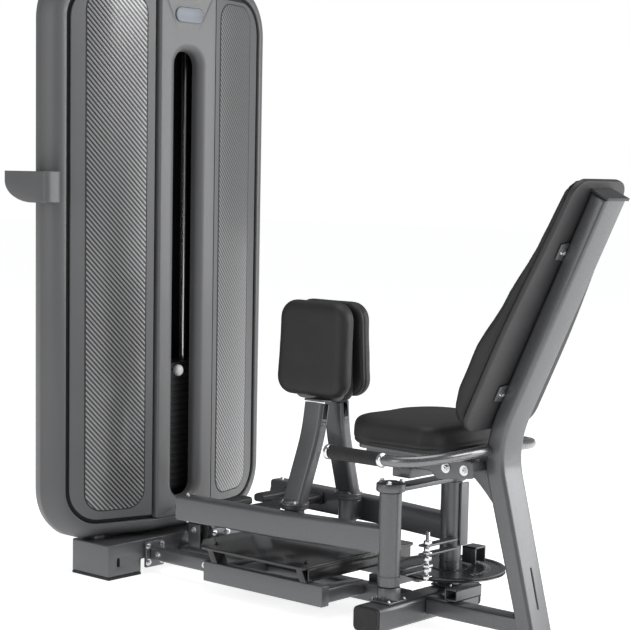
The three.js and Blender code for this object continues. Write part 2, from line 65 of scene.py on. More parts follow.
forward = Vector((math.sin(YAW) * math.cos(PITCH), math.cos(YAW) * math.cos(PITCH), -math.sin(PITCH)))
level = Vector((math.cos(YAW), -math.sin(YAW), 0))
down = forward.cross(level)
right = level * math.cos(ROLL) + down * math.sin(ROLL)
down = down * math.cos(ROLL) - level * math.sin(ROLL)
turn = Matrix((right, -down, -forward)).transposed().to_4x4()
lens = bpy.data.cameras.new("camera")
lens.lens, lens.sensor_width = 100.06, 36
lens.shift_x, lens.shift_y = -0.0048, 0.092
lens.clip_end = 60
camera = bpy.data.objects.new("camera", lens)
camera.matrix_world = Matrix.Translation(CAMERA_PLACE) @ turn
scene.collection.objects.link(camera)
scene.camera = camera

# ---------------------------------------------------------------------------
# Studio. The floor is plain, matt and lit from within to a near white, a white
# sky shows behind it, and large soft lamps light the machine from four sides.
# ---------------------------------------------------------------------------
world = bpy.data.worlds.new("studio")
scene.world = world
world.use_nodes = True
SKY_LIGHT, FLOOR_GLOW = 0.24, 0.82
sky = world.node_tree
sky.nodes["Background"].inputs["Color"].default_value = (0.97, 0.98, 1.0, 1)
sky.nodes["Background"].inputs["Strength"].default_value = SKY_LIGHT
backdrop = sky.nodes.new("ShaderNodeBackground")
backdrop.inputs["Color"].default_value = (1, 1, 1, 1)
seen = sky.nodes.new("ShaderNodeMixShader")
sky.links.new(sky.nodes.new("ShaderNodeLightPath").outputs["Is Camera Ray"], seen.inputs[0])
sky.links.new(sky.nodes["Background"].outputs[0], seen.inputs[1])
sky.links.new(backdrop.outputs[0], seen.inputs[2])
sky.links.new(seen.outputs[0], sky.nodes["World Output"].inputs["Surface"])
scene.view_settings.view_transform = "Standard"


def soft_lamp(name, place, target, size, power):
    data = bpy.data.lights.new(name, "AREA")
    data.shape, data.size, data.size_y, data.energy = "RECTANGLE", size[0], size[1], power
    lamp = bpy.data.objects.new(name, data)
    aim = (target - place).to_track_quat("-Z", "Y").to_matrix().to_4x4()
    lamp.matrix_world = Matrix.Translation(place) @ aim
    scene.collection.objects.link(lamp)


soft_lamp("key_lamp", at(3.6, -3.4, 1.9), at(0, -0.2, 0.5), (3.0, 3.2), 170)
soft_lamp("rear_lamp", at(1.3, -4.4, 2.9), at(0, 0.4, 1.0), (1.8, 1.8), 60)
soft_lamp("left_lamp", at(-4.4, 1.2, 2.0), at(0, 0.6, 0.7), (1.4, 3.0), 34)
soft_lamp("top_lamp", at(0.0, 0.2, 4.4), at(0, 0.3, 0), (3.2, 3.2), 70)


class Num:
    def __init__(self, finish, socket):
        self.finish, self.socket = finish, socket

    def of(self, operation, *values, clamp=False):
        node = self.finish.node("ShaderNodeMath", {"operation": operation, "use_clamp": clamp},
                                dict(enumerate(values)))
        return Num(self.finish, node.outputs[0])

    def __add__(self, other):
        return self.of("ADD", self, other)

    __radd__ = __add__

    def __sub__(self, other):
        return self.of("SUBTRACT", self, other)

    def __rsub__(self, other):
        return self.of("SUBTRACT", other, self)

    def __mul__(self, other):
        return self.of("MULTIPLY", self, other)

    __rmul__ = __mul__

    def wave(self):
        return self.of("SINE", self)

    def between(self, low, high):
        """0 below low, 1 above high, and smooth from one to the other."""
        node = self.finish.node("ShaderNodeMapRange", {"interpolation_type": "SMOOTHSTEP"},
                                {"Value": self, "From Min": low, "From Max": high})
        return Num(self.finish, node.outputs[0])


class Finish:
    def __init__(self, name, color, roughness, metallic=0.0, coat=0.0, sheen=0.0):
        self.material = bpy.data.materials.new(name)
        self.material.use_nodes = True
        self.tree = self.material.node_tree
        self.shader = self.tree.nodes["Principled BSDF"]
        self.color = (*color, 1)
        self.material.diffuse_color = self.color
        for key, value in (("Base Color", self.color), ("Roughness", roughness), ("Metallic", metallic),
                           ("Coat Weight", coat), ("Coat Roughness", 0.12), ("Sheen Weight", sheen)):
            self.shader.inputs[key].default_value = value

    def feed(self, socket, value):
        if isinstance(value, Num):
            value = value.socket
        if isinstance(value, bpy.types.NodeSocket):
            self.tree.links.new(value, socket)
        else:
            socket.default_value = value

    def node(self, kind, settings, sockets):
        made = self.tree.nodes.new(kind)
        for key, value in settings.items():
            setattr(made, key, value)
        for key, value in sockets.items():
            self.feed(made.inputs[key], value)
        return made

    def place(self):
        return self.node("ShaderNodeTexCoord", {}, {}).outputs["Object"]

    def axes(self):
        parts = self.node("ShaderNodeSeparateXYZ", {}, {"Vector": self.place()})
        return [Num(self, parts.outputs[k]) for k in range(3)]

    def noise(self, scale, detail=3.0, stretch=(1, 1, 1)):
        mapped = self.node("ShaderNodeMapping", {}, {"Vector": self.place(), "Scale": stretch})
        made = self.node("ShaderNodeTexNoise", {},
                         {"Vector": mapped.outputs[0], "Scale": scale, "Detail": detail})
        return Num(self, made.outputs["Fac"])

    def cells(self, scale):
        made = self.node("ShaderNodeTexVoronoi", {"feature": "DISTANCE_TO_EDGE"},
                         {"Vector": self.place(), "Scale": scale})
        return Num(self, made.outputs["Distance"])

    def blend(self, factor, first, second):
        made = self.node("ShaderNodeMix", {"data_type": "RGBA"},
                         {"Factor": factor, 6: (*first, 1) if isinstance(first, tuple) else first,
                          7: (*second, 1) if isinstance(second, tuple) else second})
        return made.outputs[2]

    def paint(self, color):
        self.feed(self.shader.inputs["Base Color"], color)

    def rough(self, value):
        self.feed(self.shader.inputs["Roughness"], value)

    def bump(self, height, strength, distance):
        made = self.node("ShaderNodeBump", {},
                         {"Height": height, "Strength": strength, "Distance": distance})
        self.feed(self.shader.inputs["Normal"], made.outputs[0])


floor_finish = Finish("studio_floor", (0.7, 0.7, 0.7), 0.9)
floor_finish.shader.inputs["Emission Color"].default_value = (1, 1, 1, 1)
floor_finish.shader.inputs["Emission Strength"].default_value = FLOOR_GLOW
FLOOR_HALF = 30
floor_mesh = bpy.data.meshes.new("floor")
floor_mesh.from_pydata([at(x, y, -0.0005) for x,
                        y in ((-FLOOR_HALF, -FLOOR_HALF), (FLOOR_HALF, -FLOOR_HALF),
                                                       (FLOOR_HALF, FLOOR_HALF),
                              (-FLOOR_HALF, FLOOR_HALF))],
                       [], [(0, 1, 2, 3)])
floor_mesh.materials.append(floor_finish.material)
floor = bpy.data.objects.new("floor", floor_mesh)
scene.collection.objects.link(floor)

# ---------------------------------------------------------------------------
# Front foot beam. A folded steel beam lies across under the tower, with a deep
# foot at each end, a long hole in each foot and a rubber pad beneath it.
# ---------------------------------------------------------------------------
steel_paint = Finish("metallic_powder_coat", (0.125, 0.127, 0.133), 0.36, metallic=0.55, coat=0.25)
flakes = steel_paint.noise(1400, 1.0)
patches = steel_paint.noise(7.0, 3.0)
steel_paint.paint(steel_paint.blend(flakes.between(0.42, 0.72), (0.105, 0.107, 0.113), (0.19, 0.192, 0.2)))
steel_paint.rough(0.33 + patches * 0.1)
steel_paint.bump(steel_paint.noise(420, 2.0), 0.12, 0.0004)

pad_rubber = Finish("black_rubber", (0.018, 0.018, 0.019), 0.72)
pad_rubber.paint(pad_rubber.blend(pad_rubber.noise(60, 4.0), (0.013, 0.013, 0.014), (0.028, 0.028, 0.029)))
pad_rubber.bump(pad_rubber.noise(900, 2.0), 0.25, 0.0004)


def new_piece(name, mesh, finish, sharp=35):
    """A mesh object at the origin, smooth except over edges sharper than the angle."""
    mesh.shade_smooth()
    mesh.set_sharp_from_angle(angle=math.radians(sharp))
    mesh.materials.clear()
    mesh.materials.append(finish.material)
    made = bpy.data.objects.new(name, mesh)
    scene.collection.objects.link(made)
    return made


def fit(piece, body, slot, *stands_for):
    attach(piece, body)
    if stands_for:
        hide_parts(*stands_for)
    return piece


def coat_node(node, finish):
    """Gives a CAD node that keeps its own shape its finish."""
    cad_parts[node].data.materials.clear()
    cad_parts[node].data.materials.append(finish.material)


def rounded(x0, y0, x1, y1, radius, steps=6):
    """The outline of a rectangle with round corners, counter-clockwise."""
    points = []
    for cx, cy, start in ((x1 - radius, y0 + radius, -90), (x1 - radius, y1 - radius, 0),
                          (x0 + radius, y1 - radius, 90), (x0 + radius, y0 + radius, 180)):
        for k in range(steps + 1):
            a = math.radians(start + 90 * k / steps)
            points.append((cx + radius * math.cos(a), cy + radius * math.sin(a)))
    return points


def softened(points, radius, steps=4):
    """A closed outline with each corner turned into a short curve."""
    made = []
    count = len(points)
    for k in range(count):
        before, corner, after = (Vector(points[(k + d) % count]) for d in (-1, 0, 1))
        reach = min(radius, (before - corner).length / 2.1, (after - corner).length / 2.1)
        a = corner + (before - corner).normalized() * reach
        b = corner + (after - corner).normalized() * reach
        for j in range(steps + 1):
            t = j / steps
            made.append(tuple(a * (1 - t) ** 2 + corner * 2 * t * (1 - t) + b * t * t))
    return made


XZ = Matrix(((1, 0, 0, 0), (0, 0, -1, 0), (0, 1, 0, 0), (0, 0, 0, 1)))  # drawn upright, facing -Y
YZ = Matrix(((0, 0, 1, 0), (1, 0, 0, 0), (0, 1, 0, 0), (0, 0, 0, 1)))  # drawn upright, facing +X
FLAT = Matrix.Identity(4)


def plate(outlines, thick, edge, plane, middle, steps=2):
    """A flat plate with round edges, drawn as an outline and its holes, centred on middle."""
    curve = bpy.data.curves.new("plate", "CURVE")
    curve.dimensions, curve.fill_mode = "2D", "BOTH"
    curve.extrude, curve.bevel_depth, curve.bevel_resolution = thick / 2 - edge, edge, steps
    curve.offset = -edge
    for outline in outlines:
        spline = curve.splines.new("POLY")
        spline.points.add(len(outline) - 1)
        for point, (x, y) in zip(spline.points, outline):
            point.co = (x, y, 0, 1)
        spline.use_cyclic_u = True
    holder = bpy.data.objects.new("plate", curve)
    scene.collection.objects.link(holder)
    mesh = bpy.data.meshes.new_from_object(holder.evaluated_get(bpy.context.evaluated_depsgraph_get()))
    bpy.data.objects.remove(holder)
    bpy.data.curves.remove(curve)
    mesh.transform(Matrix.Translation(middle) @ plane)
    return tidy(mesh)


def tidy(mesh):
    """Merges doubled points and turns every face outwards."""
    work = bmesh.new()
    work.from_mesh(mesh)
    bmesh.ops.remove_doubles(work, verts=work.verts, dist=1e-5)
    bmesh.ops.recalc_face_normals(work, faces=work.faces)
    work.to_mesh(mesh)
    work.free()
    return mesh


def together(*meshes):
    work = bmesh.new()
    for mesh in meshes:
        work.from_mesh(mesh)
    made = bpy.data.meshes.new("joined")
    work.to_mesh(made)
    work.free()
    return made


def block(low, high, edge=0.003):
    """A box with round edges, from its low and high corners."""
    work = bmesh.new()
    bmesh.ops.create_cube(work, size=1)
    size = high - low
    for vert in work.verts:
        vert.co = Vector((vert.co[k] * size[k] + (low[k] + high[k]) / 2 for k in range(3)))
    bmesh.ops.bevel(work, geom=work.edges[:], offset=edge, segments=3, profile=0.5, affect="EDGES")
    made = bpy.data.meshes.new("block")
    work.to_mesh(made)
    work.free()
    return made


def mirrored(mesh):
    """The same shape on the other side of the middle plane."""
    made = mesh.copy()
    made.transform(Matrix.Translation((MIDDLE.x, 0, 0)) @ Matrix.Scale(-1, 4, (1, 0, 0))
                   @ Matrix.Translation((-MIDDLE.x, 0, 0)))
    made.flip_normals()
    return made


FOOT_X, FOOT_INNER, FOOT_TOP, NOTCH_TOP = 0.307, 0.181, 0.100, 0.044
FOOT_FRONT, FOOT_BACK = 0.875, 1.029
foot_line = softened([(-FOOT_X, 0.008), (-FOOT_INNER, 0.008), (-FOOT_INNER, NOTCH_TOP),
                      (FOOT_INNER, NOTCH_TOP),
                      (FOOT_INNER, 0.008), (FOOT_X, 0.008), (FOOT_X, FOOT_TOP), (-FOOT_X, FOOT_TOP)], 0.004,
                     3)
foot_holes = [rounded(side * 0.268 - 0.0055, 0.034, side * 0.268 + 0.0055, 0.060, 0.005, 4)
              for side in (-1, 1)]
beam = plate([foot_line, *foot_holes], FOOT_BACK - FOOT_FRONT, 0.002, XZ,
             at(0, (FOOT_FRONT + FOOT_BACK) / 2, 0))
fit(new_piece("front_beam", beam, steel_paint), "root", "frame_paint", "front_foot_beam")
for node in ("foot_pad_left", "foot_pad_right", "stack_buffer"):
    coat_node(node, pad_rubber)

# ---------------------------------------------------------------------------
# Front links. A low box tube on each side bolts to a flange on the foot beam with
# zinc-plated hexagon heads on washers. One node tree puts a head on every spot.
# ---------------------------------------------------------------------------
bright_zinc = Finish("polished_steel", (0.72, 0.72, 0.73), 0.2, metallic=1.0)
bright_zinc.paint(bright_zinc.blend(bright_zinc.noise(30, 3.0), (0.62, 0.62, 0.63), (0.78, 0.78, 0.79)))
bright_zinc.rough(0.14 + bright_zinc.noise(220, 2.0, (1, 1, 0.06)) * 0.18)


def node_group(name, inputs):
    """A Geometry Nodes tree with one geometry in, one out and the named sizes."""
    tree = bpy.data.node_groups.new(name, "GeometryNodeTree")
    tree.interface.new_socket("Geometry", in_out="INPUT", socket_type="NodeSocketGeometry")
    tree.interface.new_socket("Geometry", in_out="OUTPUT", socket_type="NodeSocketGeometry")
    for label, kind in inputs:
        tree.interface.new_socket(label, in_out="INPUT", socket_type=kind)
    return tree, tree.nodes.new("NodeGroupInput"), tree.nodes.new("NodeGroupOutput")


def add_node(tree, kind, sockets, **settings):
    made = tree.nodes.new(kind)
    for key, value in settings.items():
        setattr(made, key, value)
    for key, value in sockets.items():
        if isinstance(value, bpy.types.NodeSocket):
            tree.links.new(value, made.inputs[key])
        else:
            made.inputs[key].default_value = value
    return made


def grown(name, mesh, tree, values):
    """Runs a Geometry Nodes tree on a mesh and gives the plain mesh that it makes."""
    holder = bpy.data.objects.new(name, mesh)
    scene.collection.objects.link(holder)
    modifier = holder.modifiers.new("grow", "NODES")
    modifier.node_group = tree
    for item in tree.interface.items_tree:
        if item.item_type == "SOCKET" and item.in_out == "INPUT" and item.name in values:
            modifier[item.identifier] = values[item.name]
    bpy.context.view_layer.update()
    made = bpy.data.meshes.new_from_object(holder.evaluated_get(bpy.context.evaluated_depsgraph_get()))
    holder.modifiers.remove(modifier)
    bpy.data.objects.remove(holder)
    return made


def bolt_tree():
    tree, start, end = node_group("bolt_heads", [("Head radius", "NodeSocketFloat"),
                                                ("Material", "NodeSocketMaterial")])
    head = add_node(tree, "GeometryNodeMeshCylinder", {"Vertices": 6, "Depth": 0.9, "Radius": 1.0})
    lift = add_node(tree, "GeometryNodeTransform",
                    {"Geometry": head.outputs["Mesh"], "Translation": (0, 0, 0.7)})
    stud = add_node(tree, "GeometryNodeMeshCylinder", {"Vertices": 12, "Depth": 0.5, "Radius": 0.5})
    stud_up = add_node(tree, "GeometryNodeTransform", {"Geometry": stud.outputs["Mesh"],
                                                       "Translation": (0, 0, 1.25)})
    washer = add_node(tree, "GeometryNodeMeshCylinder", {"Vertices": 20, "Depth": 0.26, "Radius": 1.55})
    washer_up = add_node(tree, "GeometryNodeTransform", {"Geometry": washer.outputs["Mesh"],
                                                         "Translation": (0, 0, 0.13)})
    both = tree.nodes.new("GeometryNodeJoinGeometry")
    for part in (lift, stud_up, washer_up):
        tree.links.new(part.outputs[0], both.inputs[0])
    facing = add_node(tree, "GeometryNodeInputNamedAttribute", {"Name": "facing"}, data_type="FLOAT_VECTOR")
    turned = add_node(tree, "FunctionNodeAlignRotationToVector", {"Vector": facing.outputs[0]}, axis="Z")
    spots = add_node(tree, "GeometryNodeInstanceOnPoints",
                     {"Points": start.outputs["Geometry"], "Instance": both.outputs[0],
                      "Rotation": turned.outputs[0], "Scale": start.outputs["Head radius"]})
    real = add_node(tree, "GeometryNodeRealizeInstances", {"Geometry": spots.outputs[0]})
    coated = add_node(tree, "GeometryNodeSetMaterial", {"Geometry": real.outputs[0],
                                                        "Material": start.outputs["Material"]})
    tree.links.new(coated.outputs[0], end.inputs[0])
    return tree


BOLT_TREE = bolt_tree()


def bolts(name, body, spots, radius, finish=None):
    """Bolt heads of one size: each spot is a place and the way that the head faces."""
    finish = finish or bright_zinc
    mesh = bpy.data.meshes.new(name)
    mesh.from_pydata([place for place, _ in spots], [], [])
    facing = mesh.attributes.new("facing", "FLOAT_VECTOR", "POINT")
    for item, (_, way) in zip(facing.data, spots):
        item.vector = way
    made = grown(name, mesh, BOLT_TREE, {"Head radius": radius, "Material": finish.material})
    return fit(new_piece(name, made, finish), body, "bright_steel")


LINK_X = (0.118, 0.156)
BACKWARD, UP = Vector((0, -1, 0)), Vector((0, 0, 1))
link = together(block(at(LINK_X[0], 0.586, 0.040), at(LINK_X[1], 0.864, 0.080), 0.006),
                block(at(LINK_X[0] - 0.018, 0.864, 0.018), at(LINK_X[1] + 0.014, 0.8744, 0.094), 0.002))
fit(new_piece("link_right", link, steel_paint), "root", "frame_paint", "front_link_right")
fit(new_piece("link_left", mirrored(link), steel_paint), "root", "frame_paint", "front_link_left")
link_spots = [(at(s * (LINK_X[k] + d), 0.864, z), BACKWARD) for s in (-1, 1) for k,
              d in ((0, -0.009), (1, 0.007))
              for z in (0.034, 0.080)]
side_spots = [(at(s * LINK_X[1], y, 0.060), Vector((s, 0, 0))) for s in (-1, 1) for y in (0.640, 0.830)]
bolts("link_bolts", "root", link_spots + side_spots, 0.0065)

# ---------------------------------------------------------------------------
# Rails and spine. A flat box rail on each side carries the step, cross tubes join
# it to the spine, and the spine runs from the foot beam to the pivots.
# ---------------------------------------------------------------------------
RAIL_X, RAIL_Y, RAIL_Z = (0.189, 0.219), (0.150, 0.585), (0.036, 0.092)
SPINE_HALF, SPINE_Z = 0.030, (0.020, 0.062)

rail = together(block(at(RAIL_X[0], RAIL_Y[0], RAIL_Z[0]), at(RAIL_X[1], RAIL_Y[1], RAIL_Z[1]), 0.003),
                block(at(SPINE_HALF, 0.160, 0.040), at(RAIL_X[0] + 0.004, 0.200, 0.080), 0.005),
                block(at(SPINE_HALF, 0.520, 0.040), at(RAIL_X[0] + 0.004, 0.560, 0.080), 0.005))
fit(new_piece("rail_right", rail, steel_paint), "root", "frame_paint", "step_rail_right")
fit(new_piece("rail_left", mirrored(rail), steel_paint), "root", "frame_paint", "step_rail_left")
low_y, low_z = centre_of("low_pulley").y - MIDDLE.y, centre_of("low_pulley").z
fork = [block(at(s * 0.020 - 0.003, low_y - 0.024, SPINE_Z[1]),
              at(s * 0.020 + 0.003, low_y + 0.024, low_z + 0.016))
        for s in (-1, 1)]
spine = together(block(at(-SPINE_HALF, 0.041, SPINE_Z[0]), at(SPINE_HALF, FOOT_FRONT - 0.001, SPINE_Z[1]),
                       0.007),
                 block(at(-0.024, low_y - 0.026, 0.061), at(0.024, low_y + 0.026, 0.066), 0.001), *fork)
fit(new_piece("spine", spine, steel_paint), "root", "frame_paint", "spine_tube")

# ---------------------------------------------------------------------------
# Step plate. A gloss black sheet that the user steps on, with folded legs at
# both ends that stand on the rails and a skirt that closes its rear edge.
# ---------------------------------------------------------------------------
gloss_black = Finish("gloss_black_coat", (0.016, 0.016, 0.018), 0.24, metallic=0.0, coat=0.25)
gloss_black.paint(gloss_black.blend(gloss_black.noise(9, 3.0), (0.012, 0.012, 0.013),
                                    (0.026, 0.026, 0.028)))
gloss_black.rough(0.17 + gloss_black.noise(14, 3.0) * 0.05)

STEP_X, STEP_REAR, STEP_FRONT, STEP_Z = 0.235, 0.200, 0.640, 0.128
step_line = softened([(-STEP_X, STEP_REAR), (STEP_X, STEP_REAR), (STEP_X, STEP_FRONT - 0.06),
                      (STEP_X - 0.07, STEP_FRONT), (0.07 - STEP_X, STEP_FRONT),
                      (-STEP_X, STEP_FRONT - 0.06)], 0.016)
top_sheet = plate([step_line], 0.008, 0.002, FLAT, at(0, 0, STEP_Z + 0.004))


def folded_leg(y_top, y_low):
    side = softened([(y_low, 0.0925), (y_low + 0.022, 0.0925), (y_top + 0.022, STEP_Z + 0.001),
                     (y_top, STEP_Z + 0.001)], 0.002, 2)
    return plate([side], 0.040, 0.001, YZ, at(0.200, 0, 0))


legs = [folded_leg(0.222, 0.204), folded_leg(0.548, 0.530)]
skirt = block(at(-0.215, STEP_REAR, 0.094), at(0.215, STEP_REAR + 0.004, STEP_Z + 0.002), 0.001)
step = together(top_sheet, skirt, *legs, *[mirrored(leg) for leg in legs])
fit(new_piece("step_sheet", step, gloss_black), "root", "gloss_dark", "step_plate")
step_bolts = [(at(s * 0.185, y, STEP_Z + 0.008), UP) for s in (-1, 1) for y in (0.235, 0.565)]
bolts("step_bolts", "root", step_bolts, 0.005, gloss_black)


# ---------------------------------------------------------------------------
# Rear foot. A rounded box tube lies across under both pivots with a dark plug in
# each end, and a short tube with a gusset runs back to the foot of the upright.
# ---------------------------------------------------------------------------
REAR_FOOT_X, REAR_FOOT_HALF, REAR_FOOT_TOP = 0.212, 0.040, 0.066
foot_section = rounded(-REAR_FOOT_HALF, 0, REAR_FOOT_HALF, REAR_FOOT_TOP, 0.014, 5)
rear_tube = plate([foot_section], 2 * REAR_FOOT_X, 0.001, YZ, at(0, 0, 0))
fit(new_piece("rear_tube", rear_tube, steel_paint), "root", "frame_paint", "rear_foot")
plug = plate([rounded(-REAR_FOOT_HALF + 0.0005, 0.0005, REAR_FOOT_HALF - 0.0005, REAR_FOOT_TOP - 0.0005,
                      0.014, 5)],
             0.012, 0.004, YZ, at(REAR_FOOT_X + 0.0065, 0, 0), 3)
fit(new_piece("end_plug_right", plug, pad_rubber), "root", "rubber", "rear_foot_cap_right")
fit(new_piece("end_plug_left", mirrored(plug), pad_rubber), "root", "rubber", "rear_foot_cap_left")
tail = together(block(at(-0.028, -0.338, SPINE_Z[0]), at(0.028, -REAR_FOOT_HALF - 0.0005, SPINE_Z[1]),
                      0.007),
                plate([softened([(-0.342, 0.061), (-0.338, 0.130), (-0.300, 0.061)], 0.004, 3)], 0.008,
                      0.001, YZ,
                      at(0, 0, 0)))
fit(new_piece("tail_tube", tail, steel_paint), "root", "frame_paint", "rear_spine_tube")

# ---------------------------------------------------------------------------
# Pivots. Each lever turns on a fixed steel shaft between a collar on the rear
# foot and a bridge above, where a round clamp with three bolts holds the shaft.
# ---------------------------------------------------------------------------
HUB_R, HUB_LOW, HUB_HIGH = 0.029, 0.106, 0.352
BRIDGE_LOW, BRIDGE_HIGH, CAP_R, CAP_HIGH = 0.353, 0.366, 0.038, 0.376


def turned(profile, centre, sides=48, axis=FLAT):
    """A solid of revolution: radius and height pairs that start and end on the axis."""
    rings = [(r, z) for r, z in profile if r > 1e-6]
    verts, faces = [], []
    for r, z in rings:
        verts += [(r * math.cos(2 * math.pi * k / sides), r * math.sin(2 * math.pi * k / sides), z)
                  for k in range(sides)]
    for i in range(len(rings) - 1):
        for k in range(sides):
            j = (k + 1) % sides
            faces.append((i * sides + k, i * sides + j, (i + 1) * sides + j, (i + 1) * sides + k))
    faces.append(tuple(reversed(range(sides))))
    faces.append(tuple(range((len(rings) - 1) * sides, len(rings) * sides)))
    mesh = bpy.data.meshes.new("turned")
    mesh.from_pydata(verts, [], faces)
    mesh.transform(Matrix.Translation(centre) @ axis)
    return tidy(mesh)


def barrel(radius, low, high, edge):
    """The profile of a plain drum with round edges."""
    return [(0, low), (radius - edge, low), (radius - edge * 0.3, low + edge * 0.3), (radius, low + edge),
            (radius, high - edge), (radius - edge * 0.3, high - edge * 0.3), (radius - edge, high),
            (0, high)]


collar_low = REAR_FOOT_TOP
collar = together(turned(barrel(HUB_R + 0.002, collar_low + 0.0005, HUB_LOW - 0.001, 0.003),
                         at(PIVOT_X, 0, 0)),
                  turned(barrel(0.016, HUB_LOW - 0.004, HUB_HIGH + 0.0004, 0.001), at(PIVOT_X, 0, 0), 24),
                  block(at(PIVOT_X - 0.038, -0.034, collar_low + 0.0003),
                        at(PIVOT_X + 0.038, 0.034, collar_low + 0.006),
                        0.002))
fit(new_piece("pivot_collar_right", collar, steel_paint), "root", "bright_steel", "pivot_shaft_right")
fit(new_piece("pivot_collar_left", mirrored(collar), steel_paint), "root", "bright_steel",
    "pivot_shaft_left")
bridge_parts = [block(at(-PIVOT_X, -0.026, BRIDGE_LOW), at(PIVOT_X, 0.026, BRIDGE_HIGH), 0.003)]
clamp_spots = []
for side in (-1, 1):
    here = at(side * PIVOT_X, 0, 0)
    bridge_parts.append(turned(barrel(CAP_R, BRIDGE_LOW, CAP_HIGH, 0.004), here))
    bridge_parts.append(turned(barrel(0.020, CAP_HIGH - 0.002, CAP_HIGH + 0.004, 0.002), here, 32))
    for k in range(3):
        a = math.radians(90 + 120 * k)
        spot = here + Vector((0.029 * math.cos(a), 0.029 * math.sin(a), CAP_HIGH))
        clamp_spots.append((spot, UP))
fit(new_piece("bridge", together(*bridge_parts), steel_paint), "root", "frame_paint", "pivot_bridge")
bolts("clamp_bolts", "root", clamp_spots, 0.0055)
collar_spots = [(at(s * PIVOT_X + dx, dy, collar_low + 0.006), UP) for s in (-1, 1)
                for dx in (-0.031, 0.031)
                for dy in (-0.027, 0.027)]
bolts("collar_bolts", "root", collar_spots, 0.0035)


# ---------------------------------------------------------------------------
# Levers. A rounded box tube is welded to each turning hub, runs forwards, bends
# once and ends in a cap with a rubber bumper and a socket for the thigh post.
# ---------------------------------------------------------------------------
LEVER_LINE = ((0.130, 0.010), (0.176, 0.306), (0.196, 0.690))
LEVER_Z, LEVER_WIDE, LEVER_TALL = 0.225, 0.050, 0.070
SOCKET = Vector((0.112, 0.346, 0.2676))


def eased(points, radius, steps=8):
    """An open path with its inner corners turned into curves."""
    made = [Vector(points[0])]
    for before, corner, after in zip(points, points[1:], points[2:]):
        before, corner, after = Vector(before), Vector(corner), Vector(after)
        a = corner + (before - corner).normalized() * radius
        b = corner + (after - corner).normalized() * radius
        made += [a * (1 - t) ** 2 + corner * 2 * t * (1 - t) + b * t * t
                 for t in (j / steps for j in range(steps + 1))]
    return made + [Vector(points[-1])]


def swept(path, section, up):
    """A section carried along a path. Its first axis stays square to up and to the path."""
    verts, faces = [], []
    count = len(section)
    for k, here in enumerate(path):
        ahead = (path[min(k + 1, len(path) - 1)] - path[max(k - 1, 0)]).normalized()
        across = ahead.cross(up).normalized()
        over = across.cross(ahead)
        verts += [here + across * a + over * b for a, b in section]
    for k in range(len(path) - 1):
        for i in range(count):
            j = (i + 1) % count
            faces.append((k * count + i, k * count + j, (k + 1) * count + j, (k + 1) * count + i))
    faces.append(tuple(range(count)))
    faces.append(tuple(reversed(range((len(path) - 1) * count, len(path) * count))))
    mesh = bpy.data.meshes.new("swept")
    mesh.from_pydata(verts, [], faces)
    return tidy(mesh)


def tube_outline(wide, tall, radius, steps=5):
    return rounded(-wide / 2, -tall / 2, wide / 2, tall / 2, radius, steps)


def lever_mesh():
    line = eased([at(x, y, LEVER_Z) for x, y in LEVER_LINE], 0.05)
    body = swept(line, tube_outline(LEVER_WIDE, LEVER_TALL, 0.009), UP)
    end = line[-1]
    ahead = (line[-1] - line[-2]).normalized()
    cap = swept([end - ahead * 0.001, end + ahead * 0.006],
                tube_outline(LEVER_WIDE - 0.003, LEVER_TALL - 0.003, 0.009),
                UP)
    hub = turned([(0, HUB_LOW), (HUB_R - 0.002, HUB_LOW), (HUB_R, HUB_LOW + 0.002), (HUB_R, 0.132),
                  (HUB_R - 0.0012, 0.133), (HUB_R - 0.0012, 0.135), (HUB_R, 0.136),
                  (HUB_R, HUB_HIGH - 0.002),
                  (HUB_R - 0.002, HUB_HIGH), (0, HUB_HIGH)], at(PIVOT_X, 0, 0))
    cup = turned([(0, 0.196), (0.024, 0.196), (0.027, 0.199), (0.027, 0.256), (0.036, 0.258),
                  (0.0375, 0.260),
                  (0.0375, SOCKET.z), (0, SOCKET.z)], at(SOCKET.x, SOCKET.y, 0))
    bracket = block(at(SOCKET.x, SOCKET.y - 0.020, 0.200), at(SOCKET.x + 0.055, SOCKET.y + 0.020, 0.252),
                    0.003)
    return together(body, cap, hub, cup, bracket), end, ahead


lever, lever_end, lever_ahead = lever_mesh()
fit(new_piece("lever_tube_right", lever, steel_paint), "right_lever", "frame_paint", "lever_right")
fit(new_piece("lever_tube_left", mirrored(lever), steel_paint), "left_lever", "frame_paint", "lever_left")
bumper_turn = lever_ahead.to_track_quat("Z", "Y").to_matrix().to_4x4()
bumper = turned([(0, 0.0065), (0.020, 0.0065), (0.0205, 0.009), (0.0195, 0.0125), (0.016, 0.0138),
                 (0, 0.014)],
                Vector(lever_end), 32, bumper_turn)
fit(new_piece("bumper_right", bumper, pad_rubber), "right_lever", "rubber", "lever_bumper_right")
fit(new_piece("bumper_left", mirrored(bumper), pad_rubber), "left_lever", "rubber", "lever_bumper_left")


def mirrored_spots(spots):
    return [(Vector((2 * MIDDLE.x - p.x, p.y, p.z)), Vector((-w.x, w.y, w.z))) for p, w in spots]


cap_spots = [(at(0.1945, 0.672, LEVER_Z + s * LEVER_TALL / 2), UP * s) for s in (-1, 1)]
socket_spots = [(at(SOCKET.x + 0.0305 * math.cos(a), SOCKET.y + 0.0305 * math.sin(a), 0.276), UP)
                for a in (math.radians(45 + 90 * k) for k in range(4))]
bolts("lever_bolts_right", "right_lever", cap_spots + socket_spots, 0.0045)
bolts("lever_bolts_left", "left_lever", mirrored_spots(cap_spots + socket_spots), 0.0045)

